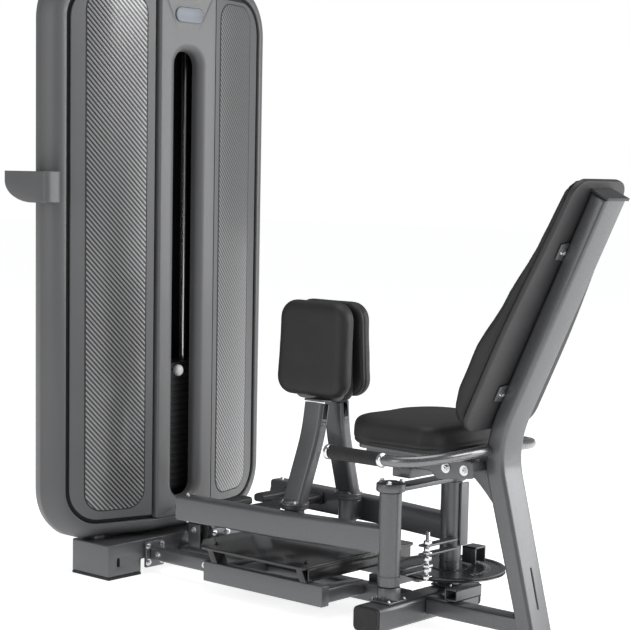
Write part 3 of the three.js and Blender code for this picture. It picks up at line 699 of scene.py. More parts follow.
# ---------------------------------------------------------------------------
# Drive cam. A wide steel disc with a grooved rim is welded under the right hub,
# with plain graduations on its face, and the belt to the stack wraps round it.
# ---------------------------------------------------------------------------
CAM_R, CAM_LOW, CAM_HIGH = 0.150, 0.106, 0.118
dark_steel = Finish("dark_satin_steel", (0.06, 0.061, 0.064), 0.28, metallic=0.6, coat=0.2)
dark_steel.paint(dark_steel.blend(dark_steel.noise(40, 3.0), (0.045, 0.046, 0.048), (0.085, 0.086, 0.09)))
dark_steel.rough(0.22 + dark_steel.noise(300, 2.0) * 0.12)
mark_paint = Finish("pale_marking", (0.55, 0.55, 0.56), 0.45)
mark_paint.rough(0.4 + mark_paint.noise(80, 2.0) * 0.12)

cam_profile = [(0, CAM_LOW), (CAM_R - 0.001, CAM_LOW), (CAM_R, CAM_LOW + 0.001),
               (CAM_R - 0.001, CAM_LOW + 0.003),
               (CAM_R - 0.005, CAM_LOW + 0.0045), (CAM_R - 0.005, CAM_HIGH - 0.0045),
               (CAM_R - 0.001, CAM_HIGH - 0.003),
               (CAM_R, CAM_HIGH - 0.001), (CAM_R - 0.001, CAM_HIGH), (CAM_R - 0.010, CAM_HIGH),
               (CAM_R - 0.013, CAM_HIGH - 0.003), (0.052, CAM_HIGH - 0.003), (0.048, CAM_HIGH),
               (0, CAM_HIGH)]
cam = turned(cam_profile, at(PIVOT_X, 0, 0), 96)
fit(new_piece("drive_cam", cam, dark_steel), "right_lever", "frame_paint")


def scale_tree():
    """Short bars set round an arc, for the cam's graduations."""
    tree, start, end = node_group("graduations", [("Count", "NodeSocketInt"), ("Radius", "NodeSocketFloat"),
                                                 ("Material", "NodeSocketMaterial")])
    arc = add_node(tree, "GeometryNodeCurveArc", {"Resolution": start.outputs["Count"],
                                                 "Radius": start.outputs["Radius"], "Start Angle": -1.9,
                                                 "Sweep Angle": 2.6})
    points = add_node(tree, "GeometryNodeCurveToPoints", {"Curve": arc.outputs[0]}, mode="EVALUATED")
    bar = add_node(tree, "GeometryNodeMeshCube", {"Size": (0.014, 0.0008, 0.0022)})
    placed = add_node(tree, "GeometryNodeInstanceOnPoints",
                      {"Points": points.outputs["Points"], "Instance": bar.outputs["Mesh"],
                       "Rotation": points.outputs["Rotation"]})
    real = add_node(tree, "GeometryNodeRealizeInstances", {"Geometry": placed.outputs[0]})
    coated = add_node(tree, "GeometryNodeSetMaterial", {"Geometry": real.outputs[0],
                                                        "Material": start.outputs["Material"]})
    tree.links.new(coated.outputs[0], end.inputs[0])
    return tree


marks = grown("cam_scale", bpy.data.meshes.new("empty"), scale_tree(),
              {"Count": 22, "Radius": 0.104, "Material": mark_paint.material})
marks.transform(Matrix.Translation(at(PIVOT_X, 0, CAM_HIGH - 0.0026)))
fit(new_piece("cam_scale", marks, mark_paint), "right_lever", "bright_steel")

# ---------------------------------------------------------------------------
# Start adjuster. Clevis arms on the right hub hold a stack of rod ends and lock
# nuts, a folded guard stands over the cam, and a pull rod hangs beside the hub.
# ---------------------------------------------------------------------------
LINK_SPOT, PULL_SPOT = (-0.014, -0.034), (PIVOT_X + 0.034, -0.018)
arms = [block(at(LINK_SPOT[0] - 0.014, -0.040, z), at(PIVOT_X - 0.020, -0.014, z + 0.006), 0.0015)
        for z in (0.196, 0.172)]
GUARD_X, GUARD_Y, GUARD_WALL = 0.214, -0.018, 0.005
GUARD_HALF, GUARD_DEEP, GUARD_LOW, GUARD_HIGH = 0.024, 0.022, 0.119, 0.164


def guard_wall(x_low, x_high, z_low):
    """One flat of the folded guard, as deep as the guard and up to its top."""
    return block(at(x_low, GUARD_Y - GUARD_DEEP, z_low), at(x_high, GUARD_Y + GUARD_DEEP, GUARD_HIGH),
                 0.001)


guard_left, guard_right = GUARD_X - GUARD_HALF, GUARD_X + GUARD_HALF
guard = together(guard_wall(guard_left, guard_left + GUARD_WALL, GUARD_LOW),
                 guard_wall(guard_right - GUARD_WALL, guard_right, GUARD_LOW),
                 guard_wall(guard_left, guard_right, GUARD_HIGH - GUARD_WALL))
rod_plate = block(at(PIVOT_X - 0.004, -0.036, 0.178), at(PIVOT_X + 0.030, -0.029, 0.348), 0.0015)
fit(new_piece("adjuster_brackets", together(*arms, guard, rod_plate), steel_paint), "right_lever",
    "frame_paint")


def nut(z, radius, tall):
    return turned(barrel(radius, z, z + tall, 0.001), at(*LINK_SPOT, 0), 6)


rod_stack = together(turned(barrel(0.0055, 0.106, 0.236, 0.001), at(*LINK_SPOT, 0), 16),
                     *[nut(z, r, tall) for z, r, tall in ((0.204, 0.011, 0.009), (0.186, 0.010, 0.008),
                                                          (0.160, 0.011, 0.010), (0.144, 0.015, 0.006),
                                                          (0.130, 0.011, 0.010), (0.112, 0.013, 0.008))],
                     turned(barrel(0.013, 0.178, 0.184, 0.002), at(*LINK_SPOT, 0), 24),
                     turned(barrel(0.004, 0.245, 0.340, 0.001), at(*PULL_SPOT, 0), 12),
                     turned(barrel(0.009, 0.262, 0.272, 0.002), at(*PULL_SPOT, 0), 6))
fit(new_piece("adjuster_rods", rod_stack, bright_zinc), "right_lever", "bright_steel")
left_arms = together(*[block(at(-PIVOT_X + 0.020, -0.040, z), at(LINK_SPOT[0] - 0.020, -0.018, z + 0.005),
                             0.0015)
                       for z in (0.150, 0.134)])
fit(new_piece("left_link_arms", left_arms, steel_paint), "left_lever", "frame_paint")
cable_box = together(*[block(at(-0.018, -0.100 - 0.018 * k, 0.0665), at(0.090, -0.096 - 0.018 * k, 0.098),
                             0.001)
                       for k in (0, 2)],
                     block(at(-0.018, -0.136, 0.0665), at(0.090, -0.096, 0.0705), 0.001),
                     block(at(-0.018, -0.136, 0.094), at(0.090, -0.096, 0.098), 0.001),
                     block(at(-0.018, -0.104, 0.050), at(0.028, -0.036, 0.0665), 0.002))
fit(new_piece("belt_guide", cable_box, steel_paint), "root", "frame_paint")

# ---------------------------------------------------------------------------
# Foot rests. Two ribbed dark bars stand inwards from each lever on an end plate,
# and the rear bar's open end is closed by a moulded cap.
# ---------------------------------------------------------------------------
ribbed = Finish("ribbed_dark_plastic", (0.032, 0.032, 0.034), 0.42)
ribbed.paint(ribbed.blend(ribbed.noise(50, 3.0), (0.024, 0.024, 0.026), (0.045, 0.045, 0.048)))
ribbed.rough(0.36 + ribbed.noise(180, 2.0) * 0.16)
ribbed.bump(ribbed.noise(1100, 2.0), 0.2, 0.0003)


def row_tree():
    """Rounded slats of one size, set side by side along a line."""
    tree, start, end = node_group("slat_row", [("Count", "NodeSocketInt"), ("First", "NodeSocketVector"),
                                              ("Step", "NodeSocketVector"), ("Size", "NodeSocketVector"),
                                              ("Material", "NodeSocketMaterial")])
    line = add_node(tree, "GeometryNodeMeshLine", {"Count": start.outputs["Count"],
                                                  "Start Location": start.outputs["First"],
                                                  "Offset": start.outputs["Step"]}, mode="OFFSET")
    slat = add_node(tree, "GeometryNodeMeshCube", {"Size": start.outputs["Size"], "Vertices X": 2})
    row = add_node(tree, "GeometryNodeInstanceOnPoints",
                   {"Points": line.outputs[0], "Instance": slat.outputs["Mesh"]})
    real = add_node(tree, "GeometryNodeRealizeInstances", {"Geometry": row.outputs[0]})
    coated = add_node(tree, "GeometryNodeSetMaterial", {"Geometry": real.outputs[0],
                                                        "Material": start.outputs["Material"]})
    tree.links.new(coated.outputs[0], end.inputs[0])
    return tree


ROW_TREE = row_tree()


def slats(count, first, step, size, finish):
    return grown("slats", bpy.data.meshes.new("empty"), ROW_TREE,
                 {"Count": count, "First": first, "Step": step, "Size": size, "Material": finish.material})


REST_INNER, REST_OUTER, REST_Z = 0.022, 0.150, 0.234
rest_parts = []
for rest_y in (0.495, 0.605):
    rest_parts.append(plate([rounded(rest_y - 0.0185, REST_Z - 0.0105, rest_y + 0.0185, REST_Z + 0.0105,
                                     0.007, 4)],
                            REST_OUTER - REST_INNER, 0.002, YZ, at((REST_INNER + REST_OUTER) / 2, 0, 0)))
    for height in (-0.0108, 0.0108):
        rest_parts.append(slats(6, at((REST_INNER + REST_OUTER) / 2, rest_y - 0.0125, REST_Z + height),
                                (0, 0.005, 0),
                                (REST_OUTER - REST_INNER - 0.010, 0.0024, 0.0022), ribbed))
rest_parts.append(plate([rounded(0.475, 0.216, 0.625, 0.250, 0.008, 4)], 0.008, 0.002, YZ,
                        at(0.1525, 0, 0)))
rest = together(*rest_parts)
fit(new_piece("rest_right", rest, ribbed), "right_lever", "ribbed_dark", "foot_rest_right")
fit(new_piece("rest_left", mirrored(rest), ribbed), "left_lever", "ribbed_dark", "foot_rest_left")
rest_spots = [(at(0.1485, y, REST_Z), Vector((-1, 0, 0))) for y in (0.535, 0.565)]
bolts("rest_bolts_right", "right_lever", rest_spots, 0.0045)
bolts("rest_bolts_left", "left_lever", mirrored_spots(rest_spots), 0.0045)

# ---------------------------------------------------------------------------
# Thigh posts. A bent, flattened tube rises from a round flange on each lever to
# the pad, and a dark strip lies in the groove down its rear face.
# ---------------------------------------------------------------------------
POST_LINE = ((0.112, 0.346, 0.272), (0.051, 0.337, 0.456), (0.041, 0.334, 0.540))
POST_WIDE, POST_THICK = 0.064, 0.038
post_path = eased([at(*p) for p in POST_LINE], 0.045, 10)
groove = [(-0.0075, -POST_WIDE / 2), (-0.0075, -POST_WIDE / 2 + 0.004), (0.0075, -POST_WIDE / 2 + 0.004),
          (0.0075, -POST_WIDE / 2)]
post_outline = rounded(-POST_THICK / 2, -POST_WIDE / 2, POST_THICK / 2, POST_WIDE / 2, 0.009, 5)
bottom_start = max(range(len(post_outline)), key=lambda k: post_outline[k][0] - 3 * post_outline[k][1])
post_outline = post_outline[bottom_start:] + post_outline[:bottom_start]
post_section = [(-x, y) for x, y in reversed(post_outline + groove)]


def post_mesh():
    """The post's tube: its section's wide side lies along the machine, and its groove faces the rear."""
    shaft = swept(post_path, [(y, x) for x, y in post_section], Vector((1, 0, 0)))
    flange = turned(barrel(0.040, 0.2680, 0.2755, 0.002), at(SOCKET.x, SOCKET.y, 0), 48)
    ring = turned([(0, 0.2755), (0.034, 0.2755), (0.034, 0.279), (0.031, 0.282), (0, 0.282)],
                  at(SOCKET.x, SOCKET.y, 0), 48)
    return together(shaft, flange, ring)


post = post_mesh()
fit(new_piece("post_right", post, steel_paint), "right_lever", "frame_paint", "thigh_post_right")
fit(new_piece("post_left", mirrored(post), steel_paint), "left_lever", "frame_paint", "thigh_post_left")
strip = swept([p + Vector((0, -POST_WIDE / 2 + 0.003, 0)) for p in post_path[1:]],
              tube_outline(0.0016, 0.0135, 0.0005, 2),
              Vector((1, 0, 0)))
fit(new_piece("post_strip_right", strip, pad_rubber), "right_lever", "rubber")
fit(new_piece("post_strip_left", mirrored(strip), pad_rubber), "left_lever", "rubber")

# ---------------------------------------------------------------------------
# Thigh pads. Foam on a steel plate, covered in fine-grained synthetic leather,
# crowned on the outer face, narrower at the top, with a seam round the edge.
# ---------------------------------------------------------------------------
leather = Finish("charcoal_synthetic_leather", (0.013, 0.013, 0.014), 0.56)
pebbles = leather.cells(620)
creases = leather.noise(14, 4.0)
leather.paint(leather.blend(creases.between(0.3, 0.7), (0.011, 0.011, 0.0115), (0.015, 0.015, 0.016)))
leather.rough(0.48 + leather.noise(90, 3.0) * 0.12)
leather.bump(pebbles.between(0.0, 0.25) + leather.noise(900, 2.0) * 0.4, 0.22, 0.0004)

PAD_INNER, PAD_Y, PAD_LONG, PAD_LOW, PAD_TALL = 0.010, 0.348, 0.240, 0.560, 0.252
PAD_CORNER, PAD_LEAN = 0.044, math.radians(-2.5)
PAD_MIDDLE = at(PAD_INNER, PAD_Y, PAD_LOW + PAD_TALL / 2)
lean = (Matrix.Translation(PAD_MIDDLE) @ Matrix.Rotation(PAD_LEAN, 4,
                                                         "Y") @ Matrix.Translation(-PAD_MIDDLE))


def shrunk(outline, inset):
    """A closed counter-clockwise outline moved inwards by the same distance all round."""
    made = []
    count = len(outline)
    for k, (x, y) in enumerate(outline):
        (ax, ay), (bx, by) = outline[k - 1], outline[(k + 1) % count]
        length = math.hypot(bx - ax, by - ay)
        made.append((x - (by - ay) / length * inset, y + (bx - ax) / length * inset))
    return made


def lofted(rings, ends=True):
    """A skin over rings of equal count. Its ends are closed, or the last ring joins the first."""
    count = len(rings[0])
    verts = [point for ring in rings for point in ring]
    faces = []
    for k in range(len(rings) - (1 if ends else 0)):
        a, b = k * count, (k + 1) % len(rings) * count
        faces += [(a + i, a + (i + 1) % count, b + (i + 1) % count, b + i) for i in range(count)]
    if ends:
        faces += [tuple(reversed(range(count))), tuple(range((len(rings) - 1) * count, len(rings) * count))]
    mesh = bpy.data.meshes.new("lofted")
    mesh.from_pydata(verts, [], faces)
    return tidy(mesh)


def evaluated(name, mesh, kind, **settings):
    """A mesh after one modifier."""
    holder = bpy.data.objects.new(name, mesh)
    scene.collection.objects.link(holder)
    modifier = holder.modifiers.new(name, kind)
    for key, value in settings.items():
        setattr(modifier, key, value)
    made = bpy.data.meshes.new_from_object(holder.evaluated_get(bpy.context.evaluated_depsgraph_get()))
    bpy.data.objects.remove(holder)
    return made


SIM_FRAMES, EVENING = 20, 24


def evened(mesh, moves):
    """Shares each point's move with its neighbours, so that the cover swells without puckers."""
    near = [[] for _ in mesh.vertices]
    for edge in mesh.edges:
        a, b = edge.vertices
        near[a].append(b)
        near[b].append(a)
    for _ in range(EVENING):
        moves = [sum((moves[j] for j in near[i]), moves[i]) / (len(near[i]) + 1) for i in range(len(moves))]
    return moves


def stuffed(name, core, voxel, cap, pressure=4.0):
    """Fills a closed cover: cloth pressure rounds it, and no point moves past the cap."""
    mesh = evaluated(name, core, "REMESH", mode="VOXEL", voxel_size=voxel)
    holder = bpy.data.objects.new(name, mesh)
    scene.collection.objects.link(holder)
    cloth = holder.modifiers.new("cloth", "CLOTH")
    cloth.settings.use_pressure = True
    cloth.settings.uniform_pressure_force = pressure
    cloth.settings.effector_weights.gravity = 0
    cloth.settings.tension_stiffness = 12
    cloth.collision_settings.use_collision = False
    for frame_number in range(1, SIM_FRAMES + 1):
        scene.frame_set(frame_number)
    swollen = bpy.data.meshes.new_from_object(holder.evaluated_get(bpy.context.evaluated_depsgraph_get()))
    moves = [after.co - before.co for before, after in zip(mesh.vertices, swollen.vertices)]
    moves = evened(mesh, [move * min(1, cap / max(move.length, 1e-9)) for move in moves])
    bpy.data.objects.remove(holder)
    scene.frame_set(1)
    for vert, move in zip(mesh.vertices, moves):
        vert.co += move
    mesh = evaluated(name, mesh, "SMOOTH", factor=0.5, iterations=3)
    return evaluated(name, mesh, "SUBSURF", levels=1, render_levels=1)


def seamed(mesh, point, normal, depth=0.0022, width=0.0030):
    """Draws a seam in where a plane cuts the pad's sides."""
    for vert in mesh.vertices:
        off = (vert.co - point).dot(normal)
        facing = 1 - abs(vert.normal.dot(normal))
        if abs(off) < 4 * width and facing > 0.3:
            vert.co -= vert.normal * depth * facing * math.exp(-(off / width) ** 2)
    return mesh


def kept_within(mesh, low, high):
    """Holds a swollen pad inside the box that its solid holds."""
    for vert in mesh.vertices:
        for k in range(3):
            vert.co[k] = min(max(vert.co[k], low[k]), high[k])
    return mesh


def pad_ring(x, inset):
    ring = []
    for y, z in shrunk(rounded(-PAD_LONG / 2, -PAD_TALL / 2, PAD_LONG / 2, PAD_TALL / 2, PAD_CORNER, 6),
                       inset):
        narrow = 1 - 0.035 * (z / PAD_TALL + 0.5)
        ring.append(lean @ at(PAD_INNER + x, PAD_Y + y * narrow, PAD_LOW + PAD_TALL / 2 + z))
    return ring


pad_core = lofted([pad_ring(x, inset) for x,
                   inset in ((0.0055, 0.003), (0.010, -0.003), (0.020, -0.006), (0.034, -0.005),
                                                      (0.044, 0.000), (0.050, 0.007), (0.053, 0.020))])
pad = stuffed("pad_core", pad_core, 0.0045, 0.003)
pad_side = lean.to_3x3() @ Vector((1, 0, 0))
pad = seamed(pad, lean @ at(PAD_INNER + 0.018, PAD_Y, PAD_LOW), pad_side)
for side, shape in (("right", pad), ("left", mirrored(pad))):
    piece = new_piece(f"padded_thigh_{side}", shape, leather, 60)
    fit(piece, f"{side}_lever", "upholstery", f"thigh_pad_{side}")

# ---------------------------------------------------------------------------
# Pad plates. A steel plate behind each thigh pad is welded to the post's head,
# and four countersunk screws hold the pad from behind.
# ---------------------------------------------------------------------------
plate_line = rounded(PAD_Y - 0.090, PAD_LOW - 0.014, PAD_Y + 0.090, PAD_LOW + PAD_TALL - 0.024, 0.030, 5)
pad_board = together(plate([plate_line], 0.004, 0.001, YZ, at(PAD_INNER + 0.002, 0, 0)),
                     block(at(PAD_INNER, PAD_Y - 0.046, PAD_LOW - 0.016),
                           at(0.052, PAD_Y + 0.018, PAD_LOW - 0.010), 0.001))
pad_board.transform(lean)
fit(new_piece("pad_board_right", pad_board, steel_paint), "right_lever", "frame_paint", "pad_plate_right")
fit(new_piece("pad_board_left", mirrored(pad_board), steel_paint), "left_lever", "frame_paint",
    "pad_plate_left")
board_spots = [(lean @ at(PAD_INNER, PAD_Y + y, PAD_LOW + z), Vector((-1, 0, 0))) for y in (-0.07, 0.07)
               for z in (0.03, 0.20)]
bolts("pad_screws_right", "right_lever", board_spots, 0.0028)
bolts("pad_screws_left", "left_lever", mirrored_spots(board_spots), 0.0028)

# ---------------------------------------------------------------------------
# Seat. A board on two beams carries a moulded foam cushion in synthetic leather,
# square at the back and narrower in front, with a seam round its lower edge.
# ---------------------------------------------------------------------------
SEAT_HALF, SEAT_REAR, SEAT_SHOULDER, SEAT_NOSE = 0.196, -0.176, 0.024, 0.148
SEAT_LOW, SEAT_HIGH, SEAT_CORNER = 0.470, 0.546, 0.050


def bezier(a, b, c, d, steps):
    a, b, c, d = map(Vector, (a, b, c, d))
    return [tuple(a * (1 - t) ** 3 + b * 3 * t * (1 - t) ** 2 + c * 3 * t * t * (1 - t) + d * t ** 3)
            for t in (k / steps for k in range(steps + 1))]


def seat_outline():
    """Counter-clockwise from the rear: round rear corners, straight sides and a drawn-in nose."""
    rear = rounded(-SEAT_HALF, SEAT_REAR, SEAT_HALF, SEAT_SHOULDER + 0.2, SEAT_CORNER, 6)[:7]
    shoulder = (SEAT_HALF, SEAT_SHOULDER)
    nose = bezier(shoulder, (SEAT_HALF, SEAT_SHOULDER + 0.076), (SEAT_HALF - 0.060, SEAT_NOSE),
                  (SEAT_HALF - 0.130, SEAT_NOSE), 12)
    half = rear + [(SEAT_HALF, -0.050)] + nose + [(0.030, SEAT_NOSE)]
    return half + [(-x, y) for x, y in reversed(half)]


seat_line = seat_outline()
seat_core = lofted([[at(x, y, z) for x, y in shrunk(seat_line, inset)]
                    for z, inset in ((SEAT_LOW + 0.002, 0.010), (SEAT_LOW + 0.007, 0.004),
                                     (SEAT_LOW + 0.018, 0.002),
                                     (SEAT_HIGH - 0.030, 0.003), (SEAT_HIGH - 0.018, 0.007),
                                     (SEAT_HIGH - 0.011, 0.015),
                                     (SEAT_HIGH - 0.008, 0.030))])
seat = stuffed("seat_core", seat_core, 0.0055, 0.005)
seat = seamed(seat, at(0, 0, SEAT_LOW + 0.015), UP)
seat = kept_within(seat, at(-0.21, -0.185, SEAT_LOW), at(0.21, 0.165, SEAT_HIGH + 0.008))
fit(new_piece("padded_seat", seat, leather, 60), "root", "upholstery", "seat_cushion")

board = plate([rounded(-0.150, SEAT_REAR + 0.024, 0.150, SEAT_NOSE - 0.040, 0.030, 5)], 0.0115, 0.002, FLAT,
              at(0, 0, SEAT_LOW - 0.0063))
seat_parts = [board, block(at(-0.090, -0.030, 0.384), at(0.090, 0.030, 0.413), 0.004),
              block(at(-0.044, -0.216, 0.420), at(0.044, -0.146, 0.452), 0.006),
              block(at(-0.088, -0.172, 0.420), at(0.088, -0.142, 0.452), 0.005)]
for side in (-1, 1):
    seat_parts.append(block(at(side * 0.070 - 0.020, -0.156, 0.412),
                            at(side * 0.070 + 0.020, 0.120, 0.4585), 0.005))
    cheek = softened([(-0.232, 0.410), (-0.120, 0.396), (-0.090, 0.418), (-0.090, 0.452), (-0.226, 0.452)],
                     0.008, 4)
    seat_parts.append(plate([cheek], 0.006, 0.0015, YZ, at(side * 0.091, 0, 0)))
seat_parts.append(block(at(-0.091, -0.222, 0.424), at(0.091, -0.212, 0.448), 0.002))
gusset = [(-0.236, 0.424), (-0.300, 0.250)] + bezier((-0.296, 0.252), (-0.240, 0.330), (-0.180, 0.400),
                                                     (-0.120, 0.424), 10)
seat_parts.append(plate([gusset], 0.010, 0.002, YZ, at(0, 0, 0)))
fit(new_piece("seat_support", together(*seat_parts), steel_paint), "root", "frame_paint", "seat_frame")
seat_spots = [(at(side * 0.094, y, 0.428), Vector((side, 0, 0))) for side in (-1, 1)
              for y in (-0.147, -0.204)]
bolts("seat_bolts", "root", seat_spots, 0.0085)

# ---------------------------------------------------------------------------
# Upright. One bent box tube with well rounded corners stands on a foot plate and leans back behind the
# seat, and a thin black strip low on its rear face is painted shade standing for a long cable slot.
# ---------------------------------------------------------------------------
UPRIGHT_HALF, UPRIGHT_DEEP = 0.045, 0.050
BACK_FOOT, BACK_HEAD = (-0.236, 0.530), (-0.512, 1.128)
BACK_LEAN = math.atan2(BACK_FOOT[0] - BACK_HEAD[0], BACK_HEAD[1] - BACK_FOOT[1])
BACK_LONG = math.hypot(BACK_FOOT[0] - BACK_HEAD[0], BACK_HEAD[1] - BACK_FOOT[1])


def on_back(up, forward):
    """Y and Z of a place measured up the upright's leaning front face and forwards from it."""
    s, c = math.sin(BACK_LEAN), math.cos(BACK_LEAN)
    return (BACK_FOOT[0] - up * s + forward * c, BACK_FOOT[1] + up * c + forward * s)


BACK_OUT = Vector((0, math.cos(BACK_LEAN), math.sin(BACK_LEAN)))
upright_line = [(-0.350, 0.0005),
                *bezier((-0.237, 0.400), (-0.224, 0.455), (-0.226, 0.500), on_back(0.05, 0), 8),
                on_back(BACK_LONG, 0), on_back(BACK_LONG, -UPRIGHT_DEEP),
                *bezier(on_back(0.075, -UPRIGHT_DEEP), on_back(0.02, -UPRIGHT_DEEP), (-0.276, 0.478),
                        (-0.288, 0.420), 8),
                (-0.398, 0.0005)]
upright = together(plate([upright_line], 2 * UPRIGHT_HALF, 0.011, YZ, at(0, 0, 0), 5),
                   block(at(-0.070, -0.420, 0.0005), at(0.070, -0.330, 0.010), 0.002))
fit(new_piece("upright_tube", upright, steel_paint), "root", "frame_paint", "rear_upright")
cap_line = [on_back(BACK_LONG + 0.0005, 0.004), on_back(BACK_LONG + 0.0005, -UPRIGHT_DEEP - 0.004),
            on_back(BACK_LONG + 0.0075, -UPRIGHT_DEEP - 0.004), on_back(BACK_LONG + 0.0075, 0.004)]
upright_plug = plate([cap_line], 2 * UPRIGHT_HALF + 0.006, 0.0025, YZ, at(0, 0, 0), 3)
fit(new_piece("upright_plug", upright_plug, ribbed), "root", "rubber", "upright_cap")
# Painted shade: no slot is cut; a black strip laid on the rear face stands for the shade inside the cable
# slot.
slot_low, slot_high = at(0, -0.3752, 0.088), at(0, -0.3487, 0.190)
slot_run = [slot_low + (slot_high - slot_low) * t for t in (0, 0.5, 1)]
slot_shade_strip = swept(slot_run, tube_outline(0.006, 0.0022, 0.001, 3), Vector((0, -1, 0.3)))
fit(new_piece("cable_slot_shade_strip", slot_shade_strip, pad_rubber), "root", "rubber")
foot_spots = [(at(s * 0.058, y, 0.010), UP) for s in (-1, 1) for y in (-0.408, -0.342)]
bolts("foot_plate_bolts", "root", foot_spots, 0.005)

# ---------------------------------------------------------------------------
# Back. A foam cushion with a lumbar swell is closed by a hard dark shell behind
# it, a straight seam runs between them, and welded tabs bolt it to the upright.
# ---------------------------------------------------------------------------
BACK_SEAM, BACK_WIDE, BACK_TOP_WIDE, BACK_CORNER, BACK_TALL = 0.016, 0.152, 0.116, 0.046, 0.684
BACK_PROFILE = ((0, 0.046), (0.080, 0.072), (0.190, 0.074), (0.350, 0.052), (0.500, 0.036), (0.640, 0.033),
                (0.684, 0.028))


def back_swell(up):
    """How far the cushion stands forward, as a smooth line through the profile's points."""
    for (a, va), (b, vb) in zip(BACK_PROFILE, BACK_PROFILE[1:]):
        if up <= b:
            t = (up - a) / (b - a)
            return va + (vb - va) * t * t * (3 - 2 * t)
    return BACK_PROFILE[-1][1]


def back_half(up):
    t = min(max((up - 0.200) / (BACK_TALL - 0.200), 0), 1)
    half = BACK_WIDE + (BACK_TOP_WIDE - BACK_WIDE) * t * t * (3 - 2 * t)
    end = min(up, BACK_TALL - up)
    if end < BACK_CORNER:
        half -= BACK_CORNER - math.sqrt(BACK_CORNER ** 2 - (BACK_CORNER - end) ** 2)
    return half


def back_point(x, up, forward):
    return at(x, *on_back(up, forward))


def back_stations():
    near = [BACK_CORNER * (1 - math.cos(math.radians(10 * k))) for k in range(10)]
    return near + [0.09 + 0.04 * k for k in range(13)] + [BACK_TALL - u for u in reversed(near)]


def back_loft(rear, front, edge, inset):
    rings = []
    for up in back_stations():
        level = min(max(up, inset), BACK_TALL - inset)
        half, out = back_half(up) - inset, front(up)
        rings.append([back_point(x, level, f) for x, f in
                      rounded(-half, rear, half, out, min(edge, (out - rear) * 0.45, half * 0.9), 4)])
    return lofted(rings)


def cushion_front(up):
    end = min(up, BACK_TALL - up)
    full = back_swell(up) - 0.004
    round_off = math.sqrt(max(0.0, 1 - (1 - min(end / 0.024, 1)) ** 2))
    return BACK_SEAM + 0.006 + max(0.004, (full - BACK_SEAM - 0.006) * (0.35 + 0.65 * round_off))


cushion_core = back_loft(BACK_SEAM + 0.0015, cushion_front, 0.016, 0.003)
cushion = stuffed("back_core", cushion_core, 0.0055, 0.005)
for vert in cushion.vertices:
    forward_of = (vert.co - back_point(0, 0, BACK_SEAM + 0.0004)).dot(BACK_OUT)
    if forward_of < 0:
        vert.co -= BACK_OUT * forward_of
cushion = seamed(cushion, back_point(0, 0, BACK_SEAM + 0.011), BACK_OUT, 0.0014, 0.0022)
fit(new_piece("padded_back", cushion, leather, 60), "root", "upholstery", "back_cushion")

shell_plastic = Finish("dark_moulded_shell", (0.03, 0.03, 0.031), 0.5)
shell_plastic.paint(shell_plastic.blend(shell_plastic.noise(18, 3.0), (0.025, 0.025, 0.026),
                                        (0.038, 0.038, 0.040)))
shell_plastic.rough(0.45 + shell_plastic.noise(120, 2.0) * 0.12)
shell_plastic.bump(shell_plastic.noise(1300, 2.0), 0.25, 0.0003)
shell = back_loft(0.0006, lambda up: BACK_SEAM - 0.0004, 0.006, 0.0)
shell = evaluated("shell", shell, "SUBSURF", levels=1, render_levels=1)
fit(new_piece("back_case", shell, shell_plastic, 50), "root", "ribbed_dark", "back_shell")

tab_meshes, tab_spots = [], []
for up in (0.108, 0.500):
    for side in (-1, 1):
        corners = [(side * x, u) for x,
                   u in ((0.0445, up - 0.024), (0.076, up - 0.020), (0.076, up + 0.020),
                                              (0.0445, up + 0.024))]
        for_both = [[back_point(x, u, f) for x, u in corners] for f in (-0.0045, -0.0002)]
        tab_meshes.append(evaluated("tab", lofted(for_both), "BEVEL", width=0.001, segments=2))
        tab_spots.append((back_point(side * 0.061, up, -0.0045), -BACK_OUT))
fit(new_piece("back_tabs", together(*tab_meshes), steel_paint), "root", "frame_paint")
bolts("back_tab_bolts", "root", tab_spots, 0.0062)

# ---------------------------------------------------------------------------
# Handles. A bent steel tube comes out of each side of the upright and runs
# forwards beside the seat, and a rubber grip sits between two bright collars.
# ---------------------------------------------------------------------------
GRIP_X, GRIP_FRONT, GRIP_REAR, GRIP_Z, TUBE_R = 0.262, 0.092, -0.074, 0.458, 0.014
tube_steel = Finish("satin_grey_steel", (0.20, 0.20, 0.205), 0.28, metallic=0.75, coat=0.2)
tube_steel.paint(tube_steel.blend(tube_steel.noise(25, 3.0), (0.17, 0.17, 0.175), (0.24, 0.24, 0.245)))
tube_steel.rough(0.24 + tube_steel.noise(60, 2.0) * 0.06)

bend = bezier((GRIP_X, GRIP_REAR - 0.024, GRIP_Z), (GRIP_X, GRIP_REAR - 0.120, GRIP_Z),
              (0.150, -0.238, GRIP_Z + 0.020),
              (UPRIGHT_HALF + 0.0004, -0.238, GRIP_Z + 0.020), 26)
handle_path = [at(GRIP_X, GRIP_FRONT + 0.008, GRIP_Z),
               at(GRIP_X, GRIP_REAR, GRIP_Z)] + [at(*p) for p in bend]
round_outline = [(TUBE_R * math.cos(math.radians(15 * k)), TUBE_R * math.sin(math.radians(15 * k)))
                 for k in range(24)]
handle = swept(handle_path, round_outline, UP)
ALONG = Matrix.Rotation(math.radians(-90), 4, "X")  # turned about +Y


def sleeve(radius, rear, front, edge):
    return turned(barrel(radius, rear, front, edge), at(GRIP_X, 0, GRIP_Z), 36, ALONG)


